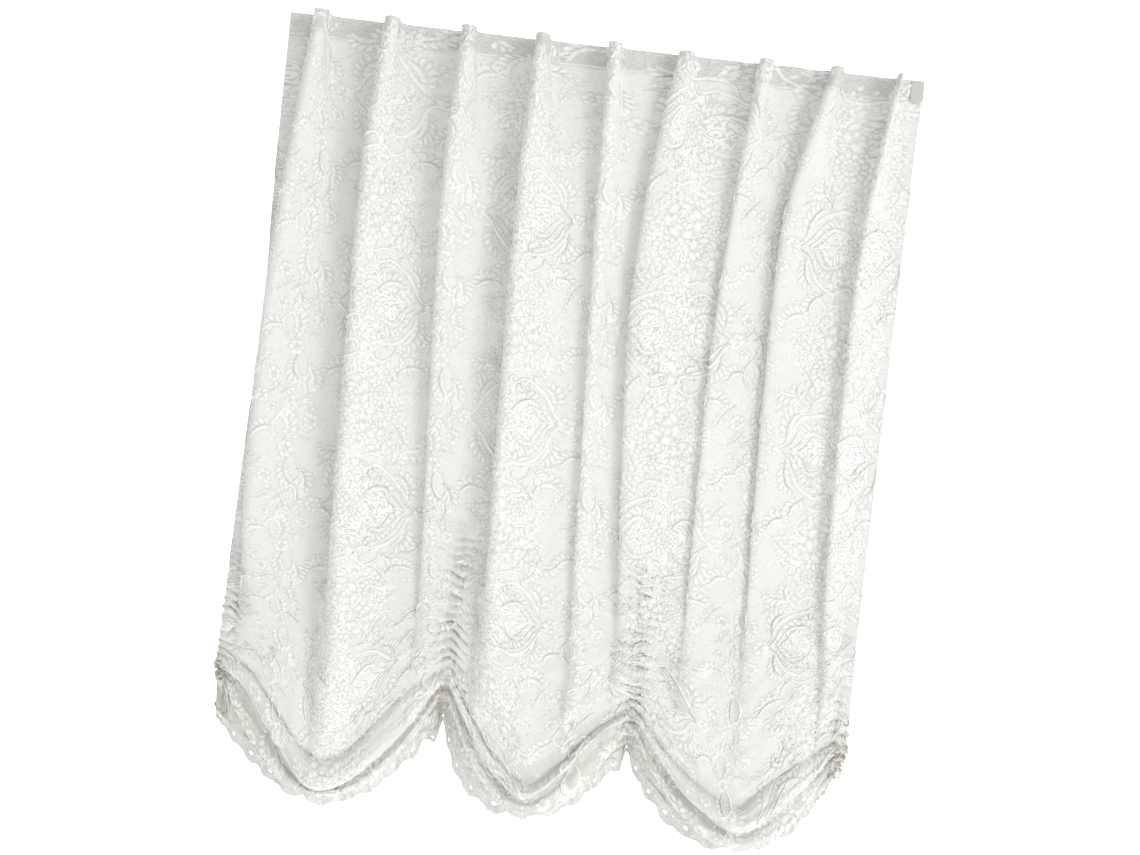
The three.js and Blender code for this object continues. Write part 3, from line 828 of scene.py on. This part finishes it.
# A frame of four great scrolls that meet in a point at each side, with a flower and feathers inside it.
cartouche = FigureWork()
cartouche.full_flower(0, 0, 23)
for side in (1, -1):
    for end in (1, -1):
        lean = 3 * side * end
        side_scroll = [(120, 0), (100, 12), (88, 34 + lean), (68, 58), (40, 72 - lean), (22, 68)]
        top_scroll = [(58, 72), (50, 90), (28, 98 + lean), (10, 88)]
        for knots, wide, curl in (
            (side_scroll, 8.0, -side * end),
            (top_scroll, 7.0, -side * end),
            ([(106, 2), (90, 14), (78, 34), (60, 52), (36, 60)], 3.2, -side * end),
            ([(92, 2), (78, 14), (66, 32), (50, 46), (30, 50)], 2.6, -side * end),
            ([(78, 2), (66, 12), (56, 26), (42, 38)], 2.2, -side * end),
        ):
            cartouche.sweep([(side * x, end * y) for x, y in knots], wide, 1.0, curl)
        cartouche.plume(side * 20, end * 20, math.atan2(end, side * 0.55), 52, -side * end * 1.7)
        way = math.atan2(end * 0.9, side * 0.25)
        cartouche.plume(side * 96, end * 14, way, 58, side * end * 1.3, wide=0.4)
        cartouche.plume(side * 54, end * 78, math.atan2(end * 0.25, side), 50, side * end * 1.5, wide=0.42)
        cartouche.spray(side * 30, end * 98, math.atan2(end * 0.5, side * 0.9), 56, 8, side * end * 0.6, 15)
    cartouche.small_flower(side * 120, 0, 15, 6, 0.2)
    cartouche.leaf(side * 104, 0, math.pi if side < 0 else 0.0, 18, 12)
for end in (1, -1):
    cartouche.small_flower(0, end * 99, 13, 6, math.pi / 2)
    cartouche.leaf(0, end * 62, math.pi / 2 * end, 28, 17)
    cartouche.leaf(-14, end * 30, math.pi / 2 * end + 0.5 * end, 26, 13)
    cartouche.leaf(14, end * 30, math.pi / 2 * end - 0.5 * end, 26, 13)

# A bunch of roses and smaller flowers with leaf sprays all round.
bouquet = FigureWork()
for x, y, turn, length, leaves, bend in (
    (-25, -42, -2.2, 58, 8, 0.8), (14, -44, -1.15, 56, 8, -0.6), (44, -34, -0.5, 56, 8, -0.8),
    (48, 20, 0.25, 56, 8, 0.9), (26, 48, 1.0, 58, 8, -0.7), (-8, 62, 1.75, 50, 7, 0.7),
    (-44, 42, 2.4, 58, 8, -0.8), (-52, 4, 3.1, 54, 8, 0.9), (-44, -30, -2.75, 50, 7, -0.7),
    (-34, 62, 2.0, 42, 6, 0.9), (46, 58, 0.8, 38, 6, -0.6), (-2, -66, -1.7, 38, 6, 0.9),
):
    bouquet.spray(x, y, turn, length, leaves, bend, 15.5)
bouquet.rose(-14, -22, 33, 0.3)
bouquet.rose(28, 30, 27, 0.9)
bouquet.full_flower(-36, 34, 25, 0.2)
bouquet.full_flower(38, -26, 22, 0.5)
for x, y, radius, petals, turn in (
    (0, 66, 16, 6, 0.0), (-56, -6, 14, 6, 0.5), (12, -64, 15, 6, 0.2), (66, 6, 12, 5, 0.1),
    (-20, 84, 11, 5, 0.7), (-32, -66, 12, 5, 0.9), (2, 12, 10, 5, 0.3),
):
    bouquet.small_flower(x, y, radius, petals, turn)
for x, y, turn, bend in (
    (66, -60, -0.9, 1.6), (-68, 70, 2.25, 1.6), (74, 64, 0.7, -1.7), (-74, -54, -2.5, -1.6),
):
    bouquet.plume(x, y, turn, 50, bend)

# A double curved scroll with feathered leaves and small sprays, between the frames and the bunches.
between = FigureWork()
for end in (1, -1):
    knots = [(0, 0), (end * 22, end * 18), (end * 26, end * 44), (end * 6, end * 62)]
    between.sweep(knots, 6.0, 1.1, end * 1.0)
    between.plume(end * 20, end * 30, math.atan2(end * 0.6, end), 46, end * 1.7)
    between.plume(end * 4, end * 14, math.atan2(end, -end * 0.5), 50, -1.6)
    between.plume(end * -14, end * 78, math.pi / 2 * end - 0.8 * end, 46, 1.6 * end, wide=0.42)
    between.small_flower(-34 * end, end * 50, 14, 6, 0.3)
    between.small_flower(34 * end, end * 68, 10, 5, 0.8)
    between.spray(-38 * end, end * 20, math.pi / 2 * end + 1.1 * end, 46, 7, -0.7, 14)
    between.spray(22 * end, end * 88, math.pi / 2 * end - 0.6 * end, 34, 6, 0.6, 13)
    between.spray(-20 * end, end * 62, math.pi / 2 * end + 0.3 * end, 36, 6, 0.9 * end, 13)
    between.spray(52 * end, end * 26, -0.9 * end if end > 0 else 2.3, 36, 6, 0.8, 13)
between.small_flower(0, 0, 15, 6)

relief_share = 2.1  # the relief is this much higher than the figures' own heights
figure_size = 1.16  # the figures are this much larger than drawn
repeat_across = 400.0
repeat_down = 410.0
first_frame = (330.0, 560.0)  # the middle of one frame on the flat cloth


def on_cloth(x, y, high):
    """The point of the hung cloth for a point of the flat cloth, high millimetres in front of it."""
    x = min(max(x, 0.0), flat_width - 0.01)
    c = min(bisect.bisect_right(cloth_across, x) - 1, len(cloth_across) - 2)
    s = (x - cloth_across[c]) / (cloth_across[c + 1] - cloth_across[c])
    found = []
    for column in (c, c + 1):
        down = cloth_down[column]
        reach = min(max(y, 0.0), down[-1] - 0.01)
        r = min(bisect.bisect_right(down, reach) - 1, len(down) - 2)
        t = (reach - down[r]) / (down[r + 1] - down[r])
        place = panel_grid[r][column].lerp(panel_grid[r + 1][column], t)
        toward = panel_normals[r][column].lerp(panel_normals[r + 1][column], t)
        found.append(place + toward * high)
    return found[0].lerp(found[1], s)


def figure_mesh(name, vertices, faces, heights):
    """A mesh of figures, sharp along their rims, with their rise written on it."""
    mesh = smooth_mesh(name, vertices, faces)
    mesh.set_sharp_from_angle(angle=math.radians(60))
    rise = mesh.attributes.new("rise", "FLOAT", "POINT")
    rise.data.foreach_set("value", [1.0 if high > 0 else 0.0 for high in heights])
    return put(name, mesh)


long_pull = 7  # the figures are pulled out of shape by this much in long waves, and by this in short ones
short_pull = 1.5
sunk_in = 0.12  # a figure's rim stands this far in front of the cloth


def weave_in(name, work, middles):
    """Repeats figures over the flat cloth, at the middles given, and bends them with it."""
    vertices, faces, heights = [], [], []
    for middle_x, middle_y in middles:
        for points, corners in work.shapes:
            x, y = middle_x + figure_size * points[0][0], middle_y + figure_size * points[0][1]
            c = min(max(bisect.bisect_right(cloth_across, x) - 1, 0), len(cloth_across) - 1)
            if not (3 < x < flat_width - 3 and 6 < y < cloth_down[c][-1] - 3):
                continue
            base = len(vertices)
            for px, py, high in points:
                flat_x, flat_y = middle_x + figure_size * px, middle_y + figure_size * py
                at, fine_at = (flat_x / 70, flat_y / 70), (flat_x / 6, flat_y / 6)
                pulled = Vector([ripple(*at, z) for z in (0.4, 11.4, 23.4)]) * long_pull
                pulled += Vector([ripple(*fine_at, z) for z in (2.4, 13.4, 25.4)]) * short_pull
                high *= 1 + 0.9 * pulled.z / long_pull
                out = high * relief_share + sunk_in
                vertices.append(on_cloth(flat_x + pulled.x, flat_y + pulled.y, out) * mm)
                heights.append(high)
            faces += [tuple(base + corner for corner in face) for face in corners]
    piece = figure_mesh(name, vertices, faces, heights)
    piece.data.materials.append(lace_figure.material)
    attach(piece, "root")
    return piece


lace_figure = Finish("lace_figure", Sheen_Weight=0.3, Sheen_Roughness=0.4, Specular_IOR_Level=0.3)
place = lace_figure.in_place()
grain = lace_figure.mottle(place, 700.0)
patches = lace_figure.mottle(place, 45.0)
thread_white = lace_figure.tint(patches, (0.885, 0.89, 0.87), (0.93, 0.93, 0.915))
# Painted shade: each figure is dyed darker towards its rim, where it meets the cloth, for the shade in the
# gaps between its petals.
painted_rim_shade = (1 - lace_figure.rise() * 1.7).clamped()
figure_lines = ((lace_figure.mottle(place, 62.0, 1.5) * 44).sum("SINE") * 1.6 - 0.35).clamped()
thread_white = lace_figure.dyed(thread_white, figure_lines, (0.925, 0.93, 0.915))
lace_figure.feed("Base Color", lace_figure.dyed(thread_white, painted_rim_shade, (0.75, 0.755, 0.74)))
lace_figure.feed("Roughness", grain * 0.2 + 0.42)
streaks = lace_figure.mottle(place, 240.0)
lace_figure.relief(grain + streaks * 2.5 - figure_lines * 0.7, 0.6, 0.0009)

frame_middles, bouquet_middles, between_middles = [], [], []
for i in range(-2, 6):
    for j in range(-3, 6):
        x = first_frame[0] + i * repeat_across
        y = first_frame[1] + (j + 0.5 * (i % 2)) * repeat_down
        frame_middles.append((x, y))
        bouquet_middles.append((x, y + repeat_down / 2))
        between_middles.append((x + repeat_across / 2, y + repeat_down / 4))
        between_middles.append((x + repeat_across / 2, y + repeat_down * 3 / 4))
figure_pieces = [
    weave_in("figured_frames", cartouche, frame_middles),
    weave_in("figured_bouquets", bouquet, bouquet_middles),
    weave_in("figured_scrolls", between, between_middles),
]
flat_width * mm
flat_length * mm


# The heading tape: a plain woven tape sewn behind the top edge with two rows of stitches, its right end
# turned round the edge to the front.
behind = 1.4
tape_rows = [r for r, cloth in enumerate(upper_cloth) if cloth <= heading_deep + 1]
turn_x = right_edge[0] + behind
tape_end = [(turn_x, 0.4), (turn_x, -behind)]
for inwards, forwards in ((3, 0.4), (12, 1.2), (24, 0.8)):
    tape_end.append((right_edge[0] - inwards, -behind - forwards))
tape_grid = []
for r in tape_rows:
    row = [point - normal * behind for point, normal in zip(panel_grid[r], panel_normals[r])]
    row += [Vector((x, y, panel_grid[r][0].z)) for x, y in tape_end]
    tape_grid.append(row)
tape_across = list(cloth_across)
for a, b in zip(tape_grid[0][len(cloth_across) - 1:], tape_grid[0][len(cloth_across):]):
    tape_across.append(tape_across[-1] + (b - a).length)
plain_tape = Finish("plain_tape", Roughness=0.85, Sheen_Weight=0.2, Specular_IOR_Level=0.2)
uv, across, down = plain_tape.flat_cloth()
weave = across.wave(0.0012) * down.wave(0.0011)
uneven = plain_tape.mottle(uv, 160.0, 3.0)
plain_tape.feed("Base Color", plain_tape.tint(uneven, (0.6, 0.6, 0.58), (0.68, 0.68, 0.66)))
plain_tape.relief(weave, 0.5, 0.0005)
tape_down = [[upper_cloth[r] for r in tape_rows]] * len(tape_across)
heading = sheet_mesh("heading_band", tape_grid, tape_across, tape_down)
heading.data.materials.append(plain_tape.material)
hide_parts("heading_tape")
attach(heading, "root")
upper_cloth[tape_rows[-1]] * mm


# The four draw tapes: narrow woven tapes sewn behind the panel along the gathers and ruffled up with it.
draw_tape = Finish("draw_tape", Roughness=0.85, Sheen_Weight=0.2, Specular_IOR_Level=0.2)
uv, across, down = draw_tape.flat_cloth()
ribs = down.wave(0.0022)
uneven = draw_tape.mottle(uv, 120.0, 3.0)
draw_tape.feed("Base Color", draw_tape.tint(uneven, (0.8, 0.8, 0.77), (0.88, 0.88, 0.855)))
draw_tape.relief(ribs, 0.5, 0.0006)
for number, tape in enumerate(draw_tapes):
    beside = [c for c, x in enumerate(column_x) if abs(x - tape["middle"]) <= tape_half + 3]
    first = next(r for r in range(crease_row) if -panel_grid[r][beside[0]].z > tape["start"] - 12)
    rows = range(first, crease_row)
    grid = [[panel_grid[r][c] - panel_normals[r][c] * behind for c in beside] for r in rows]
    flat_across = [0.0]
    for k in range(len(beside) - 1):
        flat_across.append(flat_across[-1] + sum((row[k + 1] - row[k]).length for row in grid) / len(grid))
    flat_down = [0.0]
    for row, next_row in zip(grid, grid[1:]):
        flat_down.append(flat_down[-1] + (next_row[len(beside) // 2] - row[len(beside) // 2]).length)
    piece = sheet_mesh(f"draw_tape_band_{number + 1}", grid, flat_across, [flat_down] * len(beside))
    piece.data.materials.append(draw_tape.material)
    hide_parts(f"draw_tape_{number + 1}")
    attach(piece, "root")
    flat_across[-1] * mm


# The lace edging: a narrow scalloped lace lapped behind the hem and sewn to it, with a loop hole in each
# scallop, petals round it, bars beside it, and a corded edge with picots.
edging_out = [-10, -22]
edging_lap = 8
scallop_deep = 9
scallop_count = 33
loop_hole = 4.2  # radius of the hole in a scallop
flute_deep = 8.0  # the edging stands in and out in flutes, and in finer ones
fine_flute_deep = 4.5
wander_far = 10.0  # its edge runs up and down by this, and by this in shorter waves
fine_wander_far = 4.0
sewn_line = panel_grid[-1]
hem_reach = [0.0]
for a, b in zip(sewn_line, sewn_line[1:]):
    hem_reach.append(hem_reach[-1] + (b - a).length)
scallop_wide = hem_reach[-1] / scallop_count


def on_edging(along, down_by, high=0.0):
    """A point of the edging, along the hem and down from its lapped top edge, in millimetres of flat lace."""
    along = min(max(along, 0.0), hem_reach[-1] - 0.01)
    c = min(bisect.bisect_right(hem_reach, along) - 1, len(hem_reach) - 2)
    top = sewn_line[c].lerp(sewn_line[c + 1], (along - hem_reach[c]) / (hem_reach[c + 1] - hem_reach[c]))
    towards = in_swag(top.x)[3]
    belly = 1 - towards**1.5
    near = sewn_line[min(c + 3, len(sewn_line) - 1)] - sewn_line[max(c - 3, 0)]
    lean = near.normalized().z * 0.6 * (1 - towards**4)
    hangs = Vector((lean, 0, -1)).normalized()
    shrink = mix(edging_pinch, 1.0, belly)
    share = clamp((down_by - edging_lap) / edging_deep)
    flute = flute_deep * ripple(along / 15, down_by / 60, 3) * (0.2 + 1.1 * share)
    flute += fine_flute_deep * ripple(along / 6.5, down_by / 30, 5) * share
    out = mix(-top.y, mix(edging_out[1], edging_out[0], belly), share) - 2.2 + flute
    reach = (down_by - edging_lap) * shrink
    wander = wander_far * ripple(along / 40, 0, 8) + fine_wander_far * ripple(along / 12, 0, 6)
    wander *= share
    return Vector((top.x + hangs.x * reach, -(out + high), top.z + hangs.z * (reach + wander)))


def lobe_at(along):
    """How far the scalloped edge is drawn up from the tips of its scallops."""
    return scallop_deep * (1 - math.sin(math.pi * ((along / scallop_wide) % 1.0)))


edging_columns = scallop_count * 20
edging_rows = 18
edging_down = [edging_lap + edging_deep * 0.97 * k / edging_rows - edging_lap for k in range(edging_rows + 1)]
edging_grid = []
for r in range(edging_rows + 1):
    row = []
    for c in range(edging_columns + 1):
        along = hem_reach[-1] * c / edging_columns
        row.append(on_edging(along, (edging_lap + edging_deep - lobe_at(along)) * r / edging_rows))
    edging_grid.append(row)
hole_middle = edging_lap + 22.0


def in_loop_hole(r, c):
    along = hem_reach[-1] * (c + 0.5) / edging_columns
    inside = (along / scallop_wide) % 1.0
    down_by = (edging_lap + edging_deep - lobe_at(along)) * (r + 0.5) / edging_rows
    own = 1 + 0.45 * ripple(int(along / scallop_wide) * 1.37, 0.5, 4.1)
    small, small_middle = 1.9, hole_middle - 7
    holes = [(0.5, hole_middle, loop_hole * own), (0.13, small_middle, small), (0.87, small_middle, small)]
    return any(math.hypot((inside - share) * scallop_wide, down_by - y) < size for share, y, size in holes)


# The faint constant emission is a painted glow that lifts the edging out of the shade that the rolls above
# cast on it.
edging_lace = Finish(
    "edging_lace", Roughness=0.7, Sheen_Weight=0.3, Specular_IOR_Level=0.25, Emission_Strength=0.03
)
uv, across, down = edging_lace.flat_cloth()
mesh_holes = across.wave(0.003) * down.wave(0.003)
uneven = edging_lace.mottle(uv, 60.0, 3.0)
lace_white = edging_lace.tint(uneven, (0.85, 0.845, 0.815), (0.92, 0.915, 0.895))
specks = ((edging_lace.mottle(uv, 330.0, 2.0) - 0.55) * 9).clamped()
lace_white = edging_lace.dyed(lace_white, specks, (0.74, 0.725, 0.69))
rim = ((down - (edging_down[-1] - 1.5) * mm) * 900).clamped()
lace_white = edging_lace.dyed(lace_white, rim, (0.6, 0.585, 0.55))
edging_lace.feed("Base Color", lace_white)
edging_lace.feed("Alpha", ((mesh_holes * 1.6 + 0.9).clamped() * 0.12 + 0.88).clamped())
edging_lace.relief(mesh_holes, 0.6, 0.0008)
edging_across = [hem_reach[-1] * c / edging_columns for c in range(edging_columns + 1)]
downs = [edging_down] * len(edging_across)
edging = sheet_mesh("edging_ground", edging_grid, edging_across, downs, in_loop_hole)
edging.data.materials.append(edging_lace.material)
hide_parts("lace_edging")
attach(edging, "root")

scallop = FigureWork()
middle = scallop_wide / 2
loop_radius = 5.4
petal_ring = 7.4
full_turn = 2 * math.pi
scallop.arc(middle, hole_middle, loop_radius, 0.0, full_turn, 2.8, 0.9, 14)
for k in range(9):
    way = math.pi * (k + 0.5) / 9
    scallop.petal(*off(middle, hole_middle, way, petal_ring), way, 8.0, 4.8, 0.9)
for side in (-1, 1):
    scallop.leaf(middle + side * 8, hole_middle - 6, -math.pi / 2 + side * 1.0, 12, 6.5)
    scallop.arc(middle + side * scallop_wide * 0.37, hole_middle - 7, 3.4, 0.0, full_turn, 1.8, 0.8, 10)
    scallop.petal(middle + side * 17, hole_middle + 1, side * 0.7 + math.pi / 2, 10, 4.4, 0.8)
scallop.petal(middle, hole_middle - 8.5, -math.pi / 2, 9, 5.5, 0.9)
rim_steps = 24
rim = []
for k in range(rim_steps + 1):
    share = k / rim_steps
    lobe = scallop_deep * (1 - math.sin(math.pi * share))
    rim.append((share * scallop_wide, edging_lap + edging_deep - 1.2 - lobe))
scallop.cord_line(rim, [2.4] * (rim_steps + 1), 1.0)
scallop.cord_line([(x, y - 4.2) for x, y in rim], [1.3] * (rim_steps + 1), 0.6)
for k in range(1, rim_steps, 3):
    scallop.arc(rim[k][0], rim[k][1] + 1.6, 2.0, -0.4, math.pi + 0.8, 1.2, 0.6, 5)
for k in range(12):
    x = scallop_wide * (k + 0.5) / 12
    scallop.petal(x, edging_lap + 1.5, math.pi / 2 + 0.25 * (-1) ** k, 5.5, 2.0, 0.6)
for below, width, high in ((0.6, 1.6, 0.8), (7.6, 1.2, 0.6)):
    scallop.cord_line([(scallop_wide * k / 8, edging_lap + below) for k in range(9)], [width] * 9, high)
vertices, faces, heights = [], [], []
for number in range(scallop_count):
    for points, corners in scallop.shapes:
        base = len(vertices)
        vertices += [on_edging(number * scallop_wide + x, y, high + 0.1) * mm for x, y, high in points]
        heights += [high for x, y, high in points]
        faces += [tuple(base + corner for corner in face) for face in corners]
edging_figures = figure_mesh("edging_figures", vertices, faces, heights)
edging_thread = Finish("edging_thread", Roughness=0.6, Sheen_Weight=0.3, Specular_IOR_Level=0.3)
place = edging_thread.in_place()
grain = edging_thread.mottle(place, 900.0)
thread_white = edging_thread.tint(grain, (0.89, 0.885, 0.865), (0.94, 0.935, 0.92))
# Painted shade: the edging's figures are dyed darker towards their rims, for the shade in the gaps between
# them.
painted_rim_shade = (1 - edging_thread.rise() * 1.9).clamped()
edging_thread.feed("Base Color", edging_thread.dyed(thread_white, painted_rim_shade, (0.5, 0.49, 0.465)))
edging_thread.relief(grain, 0.5, 0.0006)
edging_figures.data.materials.append(edging_thread.material)
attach(edging_figures, "root")
lace_cut = 0.0  # flat area of the scalloped strip without its holes, in square millimetres
for r in range(edging_rows):
    for c in range(edging_columns):
        if not in_loop_hole(r, c):
            lobe = scallop_deep * (1 - math.sin(math.pi * ((c + 0.5) / 20 % 1.0)))
            lace_cut += hem_reach[-1] / edging_columns * (edging_lap + edging_deep - lobe) / edging_rows
gathered_in = 0.85  # the strip is this much narrower where the tapes draw it in, on average
lace_cut * gathered_in * mm * mm


# The sewing: rows of small stitches that hold the heading tape and the draw tapes, in white thread.
stitch_tree = bpy.data.node_groups.new("rows_of_stitches", "GeometryNodeTree")
stitch_inputs = {}
for name, kind, value in (
    ("Seam", "NodeSocketGeometry", None),
    ("Stitch pitch", "NodeSocketFloat", 0.004),
    ("Stitch length", "NodeSocketFloat", 0.0028),
    ("Thread radius", "NodeSocketFloat", 0.0005),
    ("Thread", "NodeSocketMaterial", None),
):
    socket = stitch_tree.interface.new_socket(name, in_out="INPUT", socket_type=kind)
    if value is not None:
        socket.default_value = value
    stitch_inputs[name] = socket.identifier
stitch_tree.interface.new_socket("Stitches", in_out="OUTPUT", socket_type="NodeSocketGeometry")


def stitch_node(kind, sockets, **settings):
    """A node of the stitch tree, with the output or the value that each of its sockets takes."""
    node = stitch_tree.nodes.new(kind)
    for name, value in settings.items():
        setattr(node, name, value)
    for name, value in sockets.items():
        if isinstance(value, bpy.types.NodeSocket):
            stitch_tree.links.new(value, node.inputs[name])
        else:
            node.inputs[name].default_value = value
    return node.outputs


given = stitch_node("NodeGroupInput", {})
line = stitch_node("GeometryNodeMeshToCurve", {0: given["Seam"]})
spaced = {"Curve": line[0], "Length": given["Stitch pitch"]}
even = stitch_node("GeometryNodeResampleCurve", spaced, mode="LENGTH")
tangent = stitch_node("GeometryNodeInputTangent", {})
aim = stitch_node("FunctionNodeAlignRotationToVector", {"Vector": tangent[0]}, axis="Z")
half = stitch_node("ShaderNodeMath", {0: given["Stitch length"], 1: 0.5}, operation="MULTIPLY")
thick = given["Thread radius"]
size = stitch_node("ShaderNodeCombineXYZ", {"X": thick, "Y": thick, "Z": half[0]})
bead = stitch_node("GeometryNodeMeshIcoSphere", {"Radius": 1.0, "Subdivisions": 1})
sewn_in = stitch_node("GeometryNodeInstanceOnPoints", {
    "Points": even[0], "Instance": bead["Mesh"], "Rotation": aim["Rotation"], "Scale": size["Vector"],
})
solid = stitch_node("GeometryNodeRealizeInstances", {0: sewn_in[0]})
dressed = stitch_node("GeometryNodeSetMaterial", {"Geometry": solid[0], "Material": given["Thread"]})
stitch_node("NodeGroupOutput", {0: dressed[0]})

sewing_thread = Finish("sewing_thread", Roughness=0.6, Specular_IOR_Level=0.3)
place = sewing_thread.in_place()
twist = sewing_thread.mottle(place, 1200.0)
sewing_thread.feed("Base Color", sewing_thread.tint(twist, (0.86, 0.86, 0.84), (0.95, 0.95, 0.93)))


thread_radius = 0.65


def sew(name, seams, pitch, length):
    """Rows of stitches along seams, each a list of points in millimetres."""
    vertices, edges = [], []
    for seam in seams:
        edges += [(len(vertices) + k, len(vertices) + k + 1) for k in range(len(seam) - 1)]
        vertices += [point * mm for point in seam]
    lines = bpy.data.meshes.new(name + "_lines")
    lines.from_pydata(vertices, edges, [])
    marks = put(name + "_lines", lines)
    sewing = marks.modifiers.new("sewing", "NODES")
    sewing.node_group = stitch_tree
    sizes = {"Stitch pitch": pitch, "Stitch length": length, "Thread radius": thread_radius}
    for size_name, value in sizes.items():
        sewing[stitch_inputs[size_name]] = value * mm
    sewing[stitch_inputs["Thread"]] = sewing_thread.material
    bpy.context.view_layer.update()
    shown = marks.evaluated_get(bpy.context.evaluated_depsgraph_get())
    mesh = bpy.data.meshes.new_from_object(shown)
    bpy.data.objects.remove(marks)
    piece = put(name, mesh)
    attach(piece, "root")


seam_steps = 700
stitch_lift = 0.35  # the stitches stand this far in front of the cloth
heading_seams = []
for seam_drop in (5, 38):
    seam = [on_cloth(flat_width * k / seam_steps, seam_drop, stitch_lift) for k in range(seam_steps + 1)]
    heading_seams.append(seam)
sew("heading_stitches", heading_seams, 4.0, 2.9)
tape_seams = []
for tape in draw_tapes:
    for side in (-1, 1):
        c = min(range(len(column_x)), key=lambda k: abs(column_x[k] - tape["middle"] - side * tape_half))
        first = next(r for r in range(crease_row) if -panel_grid[r][c].z > tape["start"] - 12)
        tape_seams.append([panel_grid[r][c] + panel_normals[r][c] * 0.3 for r in range(first, crease_row)])
sew("tape_stitches", tape_seams, 3.6, 2.6)


# The room: a white floor that curves up into a white wall far behind the curtain, with an even sky light and
# one broad soft light from the right and the front.
floor_level, wall_foot, cove_radius = -2.2, 3.0, 1.5
cove_points = [(-4.5, floor_level), (wall_foot, floor_level)]
for k in range(1, 9):
    way = math.pi / 2 * k / 8
    cove_points.append((
        wall_foot + cove_radius * math.sin(way),
        floor_level + cove_radius - cove_radius * math.cos(way),
    ))
cove_points.append((wall_foot + cove_radius, 4.0))
half_room = 7.0
vertices = [(x, y, z) for y, z in cove_points for x in (-half_room, half_room)]
faces = [(2 * k, 2 * k + 1, 2 * k + 3, 2 * k + 2) for k in range(len(cove_points) - 1)]
room = put("white_room", smooth_mesh("white_room", vertices, faces))
room_white = Finish("room_white", Roughness=0.9, Base_Color=(0.93, 0.93, 0.93, 1.0), Emission_Strength=0.5)
room_white.cloth.inputs["Emission Color"].default_value = (1.0, 1.0, 1.0, 1.0)
room.data.materials.append(room_white.material)

world = bpy.data.worlds.new("even_light")
bpy.context.scene.world = world
world.use_nodes = True
sky = world.node_tree.nodes["Background"]
sky.inputs["Color"].default_value = (1.0, 1.0, 0.995, 1.0)
sky.inputs["Strength"].default_value = 0.685
lamp = put("window_light", bpy.data.lights.new("window_light", "AREA"))
lamp.data.size = 3.4
lamp.data.energy = 262.0
lamp.location = (6.6, -5.8, 0.6)
curtain_middle = Vector((0.0, 0.0, -0.75))
lamp.rotation_euler = (curtain_middle - lamp.location).to_track_quat("-Z", "Y").to_euler()
bpy.context.scene.view_settings.view_transform = "Standard"
